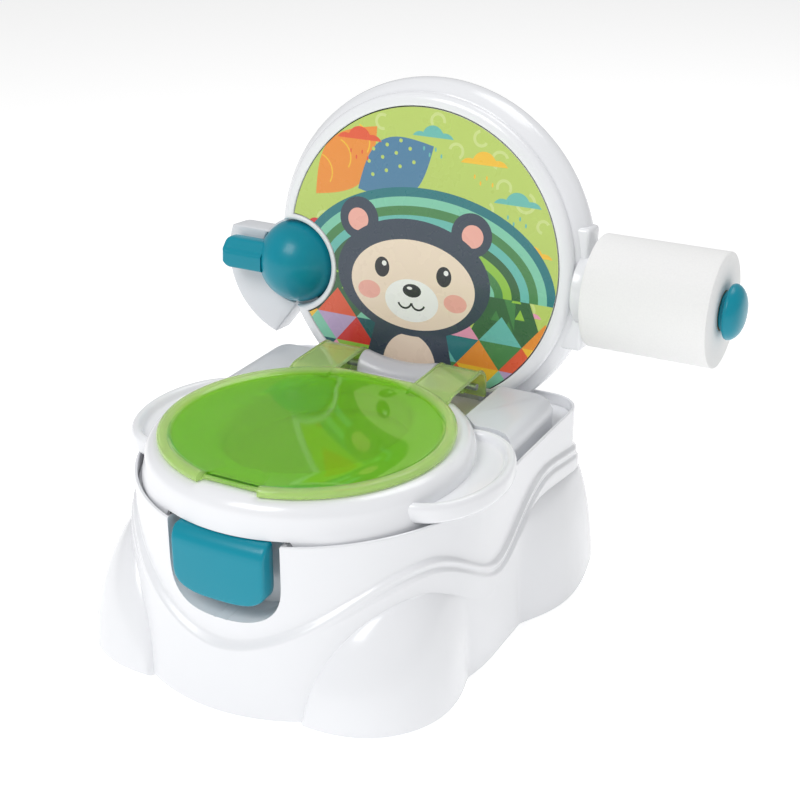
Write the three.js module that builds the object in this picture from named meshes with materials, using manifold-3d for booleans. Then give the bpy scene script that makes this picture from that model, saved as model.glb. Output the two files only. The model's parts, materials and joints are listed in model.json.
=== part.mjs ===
// Potty training chair: a moulded base with four paws, a lift-out bowl, a seat ring with side grips,
// a see-through lid, and a round back panel that carries a flush lever and a paper roll.
// Millimetres, +Z up, the front faces -Y and the chair is symmetric about x = 0 while it is built.

import * as THREE from 'three';
import { mergeVertices } from 'three/addons/utils/BufferGeometryUtils.js';
import Module from 'manifold-3d';

const wasm = await Module();
wasm.setup();

// ---- driving dimensions ------------------------------------------------------------------

const GAP = 0.3;                     // between neighbouring pieces
const WALL = 2.6;                    // moulded wall thickness

const BASE = {
  halfWidth: 146, frontRadius: 149, arcY: -45, rearY: 155, corner: 27,
  bottom: 1.5, rimFront: 140, rimSide: 143,
  step: 5, stepHeight: 7, lip: 1.5, flareFront: 15, flareSide: 8, flareRear: 4,
};
const PAW_FRONT = { angle: 49, spread: 27, reach: 29 };
const PAW_REAR = { angle: 129, spread: 20, reach: 21 };
const POCKET = { halfWidth: 48.5, bottom: 73, corner: 25, backY: -163, backTop: 125 };
const DECK = { bottom: 130, top: 133.5, skirt: 10, lugZ: 100, lugThick: 4 };
const BOWL = { y: -50, a: 86, b: 94, flange: 10, bottom: 28, thick: 2.5 };
const TONGUE = { half: 28, high: 3 };
const GRIP = { halfWidth: 40, bottom: 88, top: 141.5, frontY: -197, thick: 16, corner: 16 };
const RING = {
  y: -59, radius: 130, skirt: 135.5, bottom: 143.5, top: 171, shoulder: 13,
  openA: 68, openB: 89, openY: -47, flare: 6, gripGap: 54,
};
const WING = { x: 112, y: -46, a: 49, b: 72, bottom: 144.5, top: 160, rim: 8, dish: 7 };
const BLOCK = { halfWidth: 137, frontY: -10, rearY: 113, top: 160, chamfer: 9, pocketX: 86 };
const HINGE = { y: 90, z: 164, radius: 14, pin: 3, half: 35, knuckleIn: 37, knuckleOut: 76 };
const LID = { y: -64, radius: 117, root: 18, z: 172.2, thick: 2.4, rise: 6, notch: 26 };
const PANEL = {
  y: 126, z: 257, lean: 4.5, face: 130, front: 140, back: 150, depth: 37, seam: 8,
  art: 128.4, bottomZ: 146,
};
const PIVOT = { x: -128, z: -25, y: 16, ball: 38, bite: 39.2, floor: 19.5 };
const EAR = { radius: 75, front: 10.5, top: 24 };
const ROLL = { y: 150, z: 246, left: 156, length: 106, radius: 48, bore: 16.8 };
const CORE = { outer: 16.5, inner: 15.2 };
const SPINDLE = { shaft: 14, tail: 12, boss: 30, bossEnd: 152, collar: 16.5, knob: 23 };

const SCREW = { head: 4, headHigh: 2.6, shank: 1.6 };

// ---- colours and finishes ----------------------------------------------------------------

const finish = (colour, roughness, metalness = 0) => ({ color: colour, roughness, metalness });
const WHITE = finish(0xf4f5f7, 0.22);
const SOFT_WHITE = finish(0xe7e9ec, 0.3);
const TEAL = finish(0x1f9fb3, 0.25);
const LEAF = { ...finish(0x9bd25c, 0.1), transparent: true, opacity: 0.6 };
const PRINT = finish(0xb9d478, 0.3);
const PAPER = finish(0xf8f8f6, 0.95);
const CARD = finish(0xb59a78, 0.9);
const RUBBER = finish(0x8d9298, 0.8);
const STEEL = finish(0xb9bcc0, 0.3, 1);
const BOARD = finish(0x1f6b3a, 0.5);
const DARK = finish(0x2a2d31, 0.5);
const CELL = finish(0xc9a25a, 0.35, 0.6);

// ---- solid helpers -----------------------------------------------------------------------

// A closed geometry as a solid, with its faces turned outwards and its slivers dropped.
function solid(geometry) {
  const g = geometry.clone();
  g.deleteAttribute('normal');
  g.deleteAttribute('uv');
  const merged = mergeVertices(g, 1e-4);
  const p = merged.attributes.position.array;
  const index = merged.index.array;
  const kept = [];
  let volume = 0;
  const a = new THREE.Vector3();
  const b = new THREE.Vector3();
  const c = new THREE.Vector3();
  for (let i = 0; i < index.length; i += 3) {
    const [u, v, w] = [index[i], index[i + 1], index[i + 2]];
    if (u === v || v === w || u === w) continue;
    kept.push(u, v, w);
    a.fromArray(p, 3 * u);
    b.fromArray(p, 3 * v);
    c.fromArray(p, 3 * w);
    volume += a.dot(b.cross(c));
  }
  if (volume < 0) kept.reverse();
  const mesh = new wasm.Mesh({
    numProp: 3, vertProperties: new Float32Array(p), triVerts: new Uint32Array(kept),
  });
  return new wasm.Manifold(mesh);
}

const join = (...solids) => solids.reduce((all, one) => all.add(one));
const cut = (body, ...tools) => tools.reduce((left, tool) => left.subtract(tool), body);

function box(x0, x1, y0, y1, z0, z1) {
  const g = new THREE.BoxGeometry(x1 - x0, y1 - y0, z1 - z0);
  return solid(g.translate((x0 + x1) / 2, (y0 + y1) / 2, (z0 + z1) / 2));
}

// A cylinder along one axis: centre (u, v) in the other two axes, in X, Y, Z order.
function rod(axis, u, v, from, to, radius, sides = 16) {
  const g = new THREE.CylinderGeometry(radius, radius, to - from, sides);
  g.translate(0, (from + to) / 2, 0);
  if (axis === 'x') return solid(g.rotateZ(-Math.PI / 2).translate(0, u, v));
  if (axis === 'y') return solid(g.translate(u, 0, v));
  return solid(g.rotateX(Math.PI / 2).translate(u, v, 0));
}

// A body turned about an axis: profile points are [radius, distance along the axis].
function turned(axis, u, v, profile, sides = 36) {
  const points = profile.map(([r, along]) => new THREE.Vector2(r, along));
  const g = new THREE.LatheGeometry(points, sides);
  if (axis === 'x') return solid(g.rotateZ(-Math.PI / 2).translate(0, u, v));
  if (axis === 'y') return solid(g.translate(u, 0, v));
  return solid(g.rotateX(Math.PI / 2).translate(u, v, 0));
}

// A flat outline pushed along one axis. Outline points are the other two coordinates.
function pushed(axis, outline, from, to) {
  const shape = new THREE.Shape(outline.map(([u, v]) => new THREE.Vector2(u, v)));
  const g = new THREE.ExtrudeGeometry(shape, { depth: to - from, bevelEnabled: false });
  g.translate(0, 0, from);
  if (axis === 'x') return solid(g.applyMatrix4(new THREE.Matrix4().set(
    0, 0, 1, 0, 1, 0, 0, 0, 0, 1, 0, 0, 0, 0, 0, 1)));
  if (axis === 'y') return solid(g.applyMatrix4(new THREE.Matrix4().set(
    1, 0, 0, 0, 0, 0, 1, 0, 0, 1, 0, 0, 0, 0, 0, 1)));
  return solid(g);
}

// A body lofted through closed rings of points, flat at both ends.
function lofted(rings) {
  const count = rings[0].length;
  const position = rings.flat().flat();
  const index = [];
  rings.slice(1).forEach((_, r) => {
    for (let i = 0; i < count; i += 1) {
      const j = (i + 1) % count;
      const low = r * count;
      const high = low + count;
      index.push(low + i, low + j, high + j, low + i, high + j, high + i);
    }
  });
  [0, rings.length - 1].forEach((r, end) => {
    const ring = rings[r];
    const centre = position.length / 3;
    const mean = [0, 1, 2].map((k) => ring.reduce((sum, p) => sum + p[k], 0) / count);
    position.push(...mean);
    for (let i = 0; i < count; i += 1) {
      const j = (i + 1) % count;
      const [first, second] = end === 0 ? [j, i] : [i, j];
      index.push(centre, r * count + first, r * count + second);
    }
  });
  const g = new THREE.BufferGeometry();
  g.setAttribute('position', new THREE.Float32BufferAttribute(position, 3));
  g.setIndex(index);
  return solid(g);
}

const ellipse = (x, y, a, b, z, count = 32) => Array.from({ length: count }, (_, i) => {
  const t = (2 * Math.PI * i) / count;
  return [x + a * Math.sin(t), y - b * Math.cos(t), z];
});

// An oval column between two heights, which may widen or narrow.
const oval = (x, y, a, b, z0, z1, a1 = a, b1 = b, count = 32) => (
  lofted([ellipse(x, y, a, b, z0, count), ellipse(x, y, a1, b1, z1, count)]));

// Corner arcs of a rounded outline: centre, radius, first and last angle in degrees.
function arc(u, v, radius, from, to, steps = 6) {
  return Array.from({ length: steps + 1 }, (_, i) => {
    const t = THREE.MathUtils.degToRad(from + ((to - from) * i) / steps);
    return [u + radius * Math.cos(t), v + radius * Math.sin(t)];
  });
}

function mesh(name, body, look) {
  const data = body.getMesh();
  const g = new THREE.BufferGeometry();
  g.setAttribute('position', new THREE.Float32BufferAttribute(data.vertProperties, 3));
  g.setIndex(new THREE.Uint32BufferAttribute(data.triVerts, 1));
  g.computeVertexNormals();
  const piece = new THREE.Mesh(g, new THREE.MeshStandardMaterial(look));
  piece.name = name;
  return piece;
}

// ---- base wall ---------------------------------------------------------------------------

const smooth = (t) => {
  const s = THREE.MathUtils.clamp(t, 0, 1);
  return s * s * (3 - 2 * s);
};

// A wavy line through its crests and troughs, each given as [angle, height].
function wavy(angle, turns) {
  const next = turns.findIndex(([at]) => at >= angle);
  if (next <= 0) return turns[0][1];
  const [a0, h0] = turns[next - 1];
  const [a1, h1] = turns[next];
  return h0 + (h1 - h0) * smooth((angle - a0) / (a1 - a0));
}

// The line where the upper wall steps out, by angle from the front (0) to the rear (180).
const UPPER_LINE = [[0, 57], [62, 117], [98, 78], [128, 117], [146, 106], [180, 104]];
// The line where the paws begin: a steep quarter arc at the front, then crests and troughs.
const PAW_LINE = [[58, 92], [90, 56], [123, 97], [146, 86], [180, 84]];
const PAW_START = 24.5;

function pawLine(angle) {
  const [crest, height] = PAW_LINE[0];
  if (angle <= PAW_START) return BASE.bottom + 0.8;
  if (angle >= crest) return wavy(angle, PAW_LINE);
  const away = (crest - angle) / (crest - PAW_START);
  return Math.max(BASE.bottom + 0.8, height * (1 - away * away) ** 0.6);
}

const pawShape = (angle, paw) => {
  const away = Math.abs(angle - paw.angle) / paw.spread;
  return away < 1 ? paw.reach * (1 - away * away) ** 1.25 : 0;
};

// How far the outer wall stands out from the rim outline at one angle and height.
function standOut(angle, z) {
  const upper = wavy(angle, UPPER_LINE);
  const paw = pawLine(angle);
  const toSide = smooth(angle / 75);
  const toRear = smooth((angle - 135) / 45);
  const flare = BASE.flareFront + (BASE.flareSide - BASE.flareFront) * toSide
    + (BASE.flareRear - BASE.flareSide) * toRear;
  let out = 0;
  if (z < upper) {
    out += BASE.step * smooth((upper - z) / BASE.stepHeight);
    out += Math.max(flare - BASE.step, 0) * ((upper - z) / upper) ** 1.2;
  }
  if (z < paw && angle > PAW_START) {
    const reach = pawShape(angle, PAW_FRONT) + pawShape(angle, PAW_REAR);
    out += (BASE.lip + reach) * (1 - (z / paw) ** 2) ** 0.75;
  }
  return out;
}

// The rim outline as seen from above, one side from the front centre to the rear centre.
function halfOutline() {
  const points = [];
  for (let i = 0; i <= 16; i += 1) {
    const t = (Math.PI / 2) * (i / 16);
    const x = BASE.halfWidth * Math.sin(t);
    const y = BASE.arcY - BASE.frontRadius * Math.cos(t);
    const normal = new THREE.Vector2(Math.sin(t) / BASE.halfWidth, -Math.cos(t) / BASE.frontRadius);
    points.push([x, y, normal.normalize().x, normal.y]);
  }
  const straight = BASE.rearY - BASE.corner;
  for (let i = 1; i <= 5; i += 1) {
    points.push([BASE.halfWidth, BASE.arcY + ((straight - BASE.arcY) * i) / 5, 1, 0]);
  }
  for (let i = 1; i <= 3; i += 1) {
    const t = (Math.PI / 2) * (i / 3);
    points.push([
      BASE.halfWidth - BASE.corner + BASE.corner * Math.cos(t),
      straight + BASE.corner * Math.sin(t), Math.cos(t), Math.sin(t),
    ]);
  }
  for (let i = 1; i <= 2; i += 1) {
    points.push([(BASE.halfWidth - BASE.corner) * (1 - i / 2), BASE.rearY, 0, 1]);
  }
  return points;
}

function rimOutline() {
  const right = halfOutline();
  const left = right.slice(1, -1).reverse().map(([x, y, nx, ny]) => [-x, y, -nx, ny]);
  return [...right, ...left].map(([x, y, nx, ny]) => {
    const angle = THREE.MathUtils.radToDeg(Math.atan2(Math.abs(x), BASE.arcY - y));
    return { x, y, nx, ny, angle };
  });
}

const OUTLINE = rimOutline();
const inset = (by) => OUTLINE.map(({ x, y, nx, ny }) => [x - by * nx, y - by * ny]);
const rimZ = (angle) => BASE.rimFront + (BASE.rimSide - BASE.rimFront) * smooth(angle / 60);

// Heights of the wall's rows at one angle, from the floor to the rim.
function wallRows(angle) {
  const paw = pawLine(angle);
  const upper = Math.max(wavy(angle, UPPER_LINE), paw + 4);
  const rows = [0, 0.3, 0.55, 0.75, 0.9, 1].map((t) => BASE.bottom + (paw - BASE.bottom) * t);
  const band = upper - BASE.stepHeight;
  rows.push((paw + band) / 2 + 0.5, Math.max(band, paw + 2), upper, rimZ(angle));
  return rows;
}

function wallSolid(shrink, extend) {
  const rows = OUTLINE.map(({ angle }) => wallRows(angle));
  const last = rows[0].length - 1;
  const rings = rows[0].map((_, r) => OUTLINE.map((p, i) => {
    const z = rows[i][r];
    const out = standOut(p.angle, z) - shrink;
    const end = (r === 0 ? -extend : 0) + (r === last ? extend : 0);
    return [p.x + out * p.nx, p.y + out * p.ny, z + end];
  }));
  return lofted(rings);
}

const pocketOutline = (grow) => {
  const w = POCKET.halfWidth + grow;
  const low = POCKET.bottom - grow;
  const r = POCKET.corner;
  return [
    [-w, 160], ...arc(-w + r, low + r, r, 180, 270), ...arc(w - r, low + r, r, 270, 360), [w, 160],
  ];
};

const DECK_LUGS = [[133, -60], [133, 118], [-133, -60], [-133, 118]];
const PADS = [[131, -149], [156, 88], [-131, -149], [-156, 88]];

function baseShell() {
  const outer = wallSolid(0, 0);
  const hollow = wallSolid(WALL, 20);
  const recess = pushed('y', pocketOutline(0), -240, POCKET.backY);
  const cup = cut(
    pushed('y', pocketOutline(WALL), -215, POCKET.backY + WALL).intersect(outer),
    recess,
    box(-45, 45, POCKET.backY - 1, POCKET.backY + WALL + 1, POCKET.backTop, 170),
  );
  const feet = PADS.map(([x, y]) => rod('z', x, y, 5.3, 9, 18).intersect(outer));
  const lugTop = DECK.lugZ + DECK.lugThick;
  const lugs = DECK_LUGS.map(([x, y]) => {
    const [low, high] = x > 0 ? [x, x + 16] : [x - 16, x];
    const arm = box(low, high, y - 8, y + 8, DECK.lugZ, lugTop);
    const eye = rod('z', x, y, DECK.lugZ, lugTop, 8);
    const hole = rod('z', x, y, DECK.lugZ - 1, lugTop + 1, SCREW.shank + GAP, 8);
    return cut(join(arm, eye).intersect(outer), hole);
  });
  return join(cut(outer, hollow, recess), cup, ...feet, ...lugs);
}

const footPad = ([x, y]) => rod('z', x, y, 0, 5, 11);

// ---- deck frame, raised rear deck and their screws ---------------------------------------

const SOCKET = { x: 60, front: 127, rear: 148, bottom: 92.3 };
const BLOCK_SCREWS = [[118, 40], [118, 100], [-118, 40], [-118, 100]];
const PLUG_SCREWS = [-38, 38];

function deckFrame() {
  const edge = inset(WALL + GAP);
  const plate = pushed('z', edge, DECK.bottom, DECK.top);
  const skirt = cut(
    pushed('z', edge, DECK.bottom - DECK.skirt, DECK.bottom + 1),
    pushed('z', inset(WALL + GAP + 2.5), DECK.bottom - DECK.skirt - 1, DECK.bottom),
  );
  const { x, front, rear, bottom } = SOCKET;
  const socket = box(-x - WALL, x + WALL, front - WALL, rear + WALL, bottom, DECK.bottom + 1);
  const bosses = DECK_LUGS.map(([bx, by]) => (
    rod('z', bx, by, DECK.lugZ + DECK.lugThick + GAP, DECK.bottom + 1, 5.5)));
  const hole = SCREW.shank + GAP;
  return cut(
    join(plate, skirt, socket, ...bosses),
    oval(0, BOWL.y, BOWL.a + 4, BOWL.b + 4, 110, 140),
    box(-58, 58, -210, POCKET.backY + WALL + GAP, 110, 140),
    box(-x, x, front, rear, bottom + WALL, 140),
    ...DECK_LUGS.map(([bx, by]) => rod('z', bx, by, 90, 118, hole, 12)),
    ...BLOCK_SCREWS.map(([bx, by]) => rod('z', bx, by, 110, 140, hole, 12)),
    ...PLUG_SCREWS.map((bx) => rod('z', bx, (front + rear) / 2, 80, 110, hole, 12)),
  );
}

const blockOutline = (by, chamfer) => {
  const w = BLOCK.halfWidth - by - chamfer;
  const rear = BLOCK.rearY - by - chamfer * 0.4;
  const r = 10;
  return [
    ...arc(w - r, rear - r, r, 0, 90, 4), ...arc(-w + r, rear - r, r, 90, 180, 4),
    [-w, BLOCK.frontY + by], [w, BLOCK.frontY + by],
  ];
};

function blockSolid(by) {
  const at = (chamfer, z) => blockOutline(by, chamfer).map(([x, y]) => [x, y, z]);
  const low = DECK.top + GAP - (by ? 5 : 0);
  return lofted([
    at(0, low), at(0, BLOCK.top - BLOCK.chamfer - by), at(3, BLOCK.top - 3 - by), at(8, BLOCK.top - by),
  ]);
}

function rearDeck() {
  const clear = (by) => join(
    rod('z', 0, RING.y, 120, 180, RING.radius + 3 + by, 44),
    box(-BLOCK.pocketX - by, BLOCK.pocketX + by, 20, 140, 141 - by, 180),
    ...[-1, 1].map((side) => (
      oval(side * WING.x, WING.y, WING.a + 3 + by, WING.b + 3 + by, 120, 180))),
  );
  const posts = BLOCK_SCREWS.map(([x, y]) => rod('z', x, y, DECK.top + GAP, BLOCK.top - 2, 5, 16));
  return cut(
    join(cut(blockSolid(0), cut(blockSolid(WALL), clear(WALL))), ...posts),
    clear(0),
    ...BLOCK_SCREWS.map(([x, y]) => rod('z', x, y, 120, 150, SCREW.shank + GAP, 8)),
  );
}

// A pan-head screw that points up, its head under height z.
const screwUp = (x, y, z, long) => join(
  rod('z', x, y, z - SCREW.headHigh, z, SCREW.head, 10), rod('z', x, y, z - 1, z + long, SCREW.shank, 6));

// ---- bowl and its front grip -------------------------------------------------------------

// Stacked ovals of the tub: shares of the full oval at their heights, drawn in by one amount.
function tub(by, levels) {
  const { y, a, b } = BOWL;
  return lofted(levels.map(([z, size]) => (
    ellipse(0, y, a * size + 1 - by, b * size + 1 - by, z, 36))));
}

function bowl() {
  const { y, a, b, flange, bottom, thick } = BOWL;
  const top = DECK.top + GAP;
  const floor = bottom + thick;
  const outside = tub(0, [[bottom, 0.72], [bottom + 5, 0.79], [bottom + 18, 0.85], [top, 1]]);
  const inside = tub(thick, [
    [floor, 0.72], [floor + 5, 0.79], [floor + 18, 0.85], [top + 3, 1], [top + 8, 1],
  ]);
  const rim = oval(0, y, a + flange, b + flange, top, top + TONGUE.high, a + flange, b + flange, 36);
  const tongue = box(-TONGUE.half, TONGUE.half, GRIP.frontY + 8, y - b, top, top + TONGUE.high);
  return cut(join(outside, rim, tongue), inside);
}

function bowlGrip() {
  const { halfWidth: w, bottom, top, frontY, thick, corner: r } = GRIP;
  const outline = [
    ...arc(-w + r, bottom + r, r, 180, 270), ...arc(w - r, bottom + r, r, 270, 360),
    ...arc(w - 5, top - 5, 5, 0, 90, 3), ...arc(-w + 5, top - 5, 5, 90, 180, 3),
  ];
  const shape = new THREE.Shape(outline.map(([x, z]) => new THREE.Vector2(x, z)));
  const round = { depth: thick - 5, bevelThickness: 4, bevelSize: 4, bevelOffset: -4, bevelSegments: 3 };
  const g = new THREE.ExtrudeGeometry(shape, { ...round, curveSegments: 1 });
  g.rotateX(Math.PI / 2).translate(0, frontY + thick - 1, 0);
  const front = solid(g).intersect(box(-60, 60, frontY - 1, frontY + thick, 60, 160));
  const slotHalf = TONGUE.half + 0.5;
  const low = DECK.top;
  return cut(front, box(-slotHalf, slotHalf, frontY + 7.5, frontY + 40, low, low + TONGUE.high + 2 * GAP));
}

// ---- seat ring, hinge block and rubber stops ---------------------------------------------

const STOPS = [[105, -95], [85, 22], [-105, -95], [-85, 22]];

function ringProfile(by) {
  const r = RING.radius - by;
  const s = RING.shoulder - by / 2;
  const top = RING.top - by;
  const curve = [0, 30, 60, 90].map((deg) => {
    const t = THREE.MathUtils.degToRad(deg);
    return [r - s + s * Math.cos(t), top - s + s * Math.sin(t)];
  });
  return [[0, RING.skirt - by], [r, RING.skirt - by], ...curve, [0, top]];
}

function wingSolid(side) {
  const { x, y, a, b, bottom, top, rim, dish } = WING;
  const outer = lofted([
    ellipse(side * x, y, a - 1, b - 1, bottom, 32), ellipse(side * x, y, a, b, bottom + 3, 32),
    ellipse(side * x, y, a, b, top - 4, 32), ellipse(side * x, y, a - 4, b - 4, top, 32),
  ]);
  const hollow = oval(side * x, y, a - rim - 3, b - rim - 3, top - dish, top + 1, a - rim, b - rim, 32);
  return cut(outer, hollow);
}

function seatRing() {
  const { y, radius, bottom, openA, openB, openY, flare, gripGap } = RING;
  const edge = RING.top - 8;
  const bore = join(
    oval(0, openY, openA, openB, 120, edge),
    oval(0, openY, openA, openB, edge - 0.01, RING.top + 0.01, openA + flare, openB + flare),
  );
  const inner = WALL + flare;
  const under = cut(
    turned('z', 0, y, ringProfile(WALL), 40),
    oval(0, openY, openA + inner, openB + inner, bottom, 180),
    ...STOPS.map(([px, py]) => rod('z', px, py, 150, 180, 8, 16)),
  );
  return cut(
    cut(join(turned('z', 0, y, ringProfile(0), 40), wingSolid(1), wingSolid(-1)), bore),
    under,
    box(-gripGap, gripGap, y - radius - 2, y - radius + 30, 130, bottom),
    ...[-1, 1].map((side) => oval(
      side * WING.x, WING.y, WING.a - WALL, WING.b - WALL, 140, WING.top - WING.dish - WALL)),
    box(-22, 22, y + radius - 14, y + radius + 5, 140, 151),
  );
}

function hingeBlock() {
  const { y, z, radius, half, pin } = HINGE;
  const rear = RING.y + RING.radius;
  const side = [
    [rear + 1.5, RING.bottom], [y + radius - 3, RING.bottom], [y + radius, RING.bottom + 3],
    ...arc(y, z, radius, 0, 180, 12), [rear + 1.5, z - 4],
  ];
  const body = pushed('x', side, -half, half);
  const tongue = box(-21.5, 21.5, rear - 12, rear + 3, RING.bottom + 0.5, 150.5);
  return cut(join(body, tongue), rod('x', y, z, -50, 50, pin + GAP, 20));
}

const ringStop = ([x, y]) => rod('z', x, y, DECK.top + GAP, 149.7, 7, 20);

// ---- lid ---------------------------------------------------------------------------------

function lidDish() {
  const { y, radius: r, z, thick: t, rise, notch } = LID;
  const plate = turned('z', 0, y, [
    [0, z], [r - 12, z], [r - 6, z + rise - t], [r - 2.2, z + rise - t - 1],
    [r - 1.8, z - 0.2], [r, z - 0.2], [r, z + rise - 2.5], [r - 3, z + rise], [r - 7, z + rise],
    [r - 13, z + t], [0, z + t],
  ], 40);
  return cut(plate, box(-notch, notch, y - r - 5, y - r + 9, z - 5, z + 10));
}

function knuckle(side) {
  const { y, z, radius: r, pin, knuckleIn, knuckleOut } = HINGE;
  const t = 2.8;
  const hook = [
    [LID.root, LID.z], [y, z + r - t], ...arc(y, z, r - t, 90, 0, 5), [y + r - t, z - r],
    [y + r, z - r], ...arc(y, z, r, 0, 90, 5), [LID.root, LID.z + t],
  ];
  const from = side > 0 ? knuckleIn : -knuckleOut;
  const to = side > 0 ? knuckleOut : -knuckleIn;
  const shell = pushed('x', hook, from, to);
  const middle = (side * (knuckleIn + knuckleOut)) / 2;
  const eye = join(
    rod('x', y, z, middle - 6, middle + 6, 8),
    box(middle - 6, middle + 6, y - 3, y + 3, z, z + r - t + 0.5),
  );
  return cut(join(shell, eye), rod('x', y, z, -100, 100, pin + GAP, 20));
}

const lid = () => join(lidDish(), knuckle(1), knuckle(-1));

// ---- round back panel: built upright, then leaned back by its group -----------------------

// Everything below the seat deck's level is cut away on a plane that is level once the panel leans.
const LEAN = THREE.MathUtils.degToRad(PANEL.lean);
function belowLevel(z) {
  const g = new THREE.BoxGeometry(600, 600, 400).translate(0, 0, z - PANEL.z - 200);
  return solid(g.applyMatrix4(new THREE.Matrix4().makeRotationX(LEAN)));
}
const biteRod = (radius, from, to) => rod('y', PIVOT.x, PIVOT.z, from, to, radius, 32);
const SCREWS_BACK = [[88, 78], [-88, 78], [92, -66], [-66, -84]];

function bezel() {
  const { face, front, seam, bottomZ } = PANEL;
  const outer = turned('y', 0, 0, [
    [0, 0], [face, 0], [face + 6, 1.2], [front, seam], [0, seam],
  ], 48);
  const recess = cut(rod('y', 0, 0, -1, 2.6, PANEL.art + 0.6, 48), biteRod(PIVOT.bite + 4, -5, 10),
    belowLevel(bottomZ + 5));
  const rear = cut(rod('y', 0, 0, 5.2, 20, front - WALL, 48), biteRod(PIVOT.bite + WALL, -5, 30),
    belowLevel(bottomZ + WALL));
  const posts = SCREWS_BACK.map(([x, z]) => rod('y', x, z, 5, 28.7, 4.5, 16));
  return cut(
    join(cut(outer, recess, rear), ...posts),
    biteRod(PIVOT.bite, -5, 30),
    belowLevel(bottomZ),
    ...SCREWS_BACK.map(([x, z]) => rod('y', x, z, 14, 40, SCREW.shank + GAP, 8)),
  );
}

const artPanel = () => cut(
  rod('y', 0, 0, 0.5, 2.3, PANEL.art, 48), biteRod(PIVOT.bite + 4.6, -5, 10),
  belowLevel(PANEL.bottomZ + 5.6),
);

// The fan-shaped housing behind the flush lever, centred on the lever's pivot.
function earOutline(by) {
  const { x, z } = PIVOT;
  const r = EAR.radius - by;
  const rise = THREE.MathUtils.radToDeg(Math.asin((EAR.top - by) / r));
  return [
    [x + 60, z + EAR.top - by], ...arc(x, z, r, 180 - rise, 252 - by, 12),
    [x + 5 - by, z - 34 + by], [x + 60, z - 34 + by],
  ];
}

const SIDE_BLOCK = { x: 148, top: 43, bottom: -62, front: 12 };
const AXIS = {
  y: (ROLL.y - PANEL.y) * Math.cos(LEAN) - (ROLL.z - PANEL.z) * Math.sin(LEAN),
  z: (ROLL.y - PANEL.y) * Math.sin(LEAN) + (ROLL.z - PANEL.z) * Math.cos(LEAN),
};
const BATTERY = { x: 0, z: -42, wide: 64, tall: 56 };
const SPEAKER = { x: 0, z: 62, radius: 20 };
const SWITCH = { x: 62, z: -42 };

function backCover() {
  const { front, back, depth, seam, bottomZ } = PANEL;
  const from = seam + GAP;
  const body = (by) => turned('y', 0, 0, [
    [0, from - by], [front - by, from - by], [front + 4 - by, from + 4], [back - 1 - by, 22],
    [back - by, 30 - by / 2], [back - 4 - by, depth - by], [0, depth - by],
  ], 48);
  const ear = (by) => pushed('y', earOutline(by), EAR.front + by, depth - by);
  const side = (by) => box(90, SIDE_BLOCK.x - by, SIDE_BLOCK.front + by, depth - by,
    SIDE_BLOCK.bottom + by, SIDE_BLOCK.top - by);
  const t = 2.5;
  const plugX = SOCKET.x - GAP;
  const plug = (by) => {
    const g = new THREE.BoxGeometry(
      2 * (plugX - by), SOCKET.rear - SOCKET.front - 2 * (GAP + by), 60 - 2 * by);
    g.translate(0, (SOCKET.front + SOCKET.rear) / 2, 95.6 + 30 + by);
    g.translate(0, -PANEL.y, -PANEL.z).rotateX(LEAN);
    return solid(g);
  };
  const boss = rod('x', AXIS.y, AXIS.z, 141, SPINDLE.bossEnd, SPINDLE.boss, 28);
  const bossCore = rod('x', AXIS.y, AXIS.z, 125, SPINDLE.bossEnd, SPINDLE.tail + 3, 20);
  const outer = join(
    cut(join(body(0), ear(0), side(0), boss), belowLevel(bottomZ)),
    plug(0),
  );
  const wells = SCREWS_BACK.map(([x, z]) => rod('y', x, z, 29, depth, 7, 12));
  const inner = cut(
    join(
      cut(join(body(t), ear(t), side(t)), belowLevel(bottomZ + t)),
      plug(t),
    ),
    biteRod(PIVOT.bite + t, -5, PIVOT.floor + t),
    bossCore, ...wells,
  );
  const { x: bx, z: bz, wide, tall } = BATTERY;
  const door = box(bx - wide / 2, bx + wide / 2, depth - 4, depth + 1, bz - tall / 2, bz + tall / 2);
  const slots = [-10, -5, 0, 5, 10].map((v) => {
    const half = Math.sqrt(15 * 15 - v * v);
    return box(SPEAKER.x - half, SPEAKER.x + half, 30, 40, SPEAKER.z + v - 1.1, SPEAKER.z + v + 1.1);
  });
  const plugScrews = PLUG_SCREWS.map((x) => {
    const g = new THREE.CylinderGeometry(SCREW.shank + GAP, SCREW.shank + GAP, 30, 12);
    g.rotateX(Math.PI / 2).translate(x, (SOCKET.front + SOCKET.rear) / 2, 95);
    return solid(g.translate(0, -PANEL.y, -PANEL.z).rotateX(LEAN));
  });
  return cut(
    outer, inner,
    biteRod(PIVOT.bite, -5, PIVOT.floor), biteRod(5.4, 10, 30),
    rod('x', AXIS.y, AXIS.z, 128, 160, SPINDLE.tail + 0.4, 20),
    ...SCREWS_BACK.map(([x, z]) => rod('y', x, z, 31.5, 45, SCREW.head + 0.5, 10)),
    ...SCREWS_BACK.map(([x, z]) => rod('y', x, z, 20, 45, SCREW.shank + GAP, 8)),
    door, ...slots, ...plugScrews,
    box(SWITCH.x - 7, SWITCH.x + 7, 30, 45, SWITCH.z - 3, SWITCH.z + 3),
  );
}

// A pan-head screw that points towards the front, its head behind distance y.
const screwForward = (x, z, y, long) => join(
  rod('y', x, z, y, y + SCREW.headHigh, SCREW.head, 10), rod('y', x, z, y - long, y + 1, SCREW.shank, 6));

// ---- what the panel holds ----------------------------------------------------------------

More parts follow.
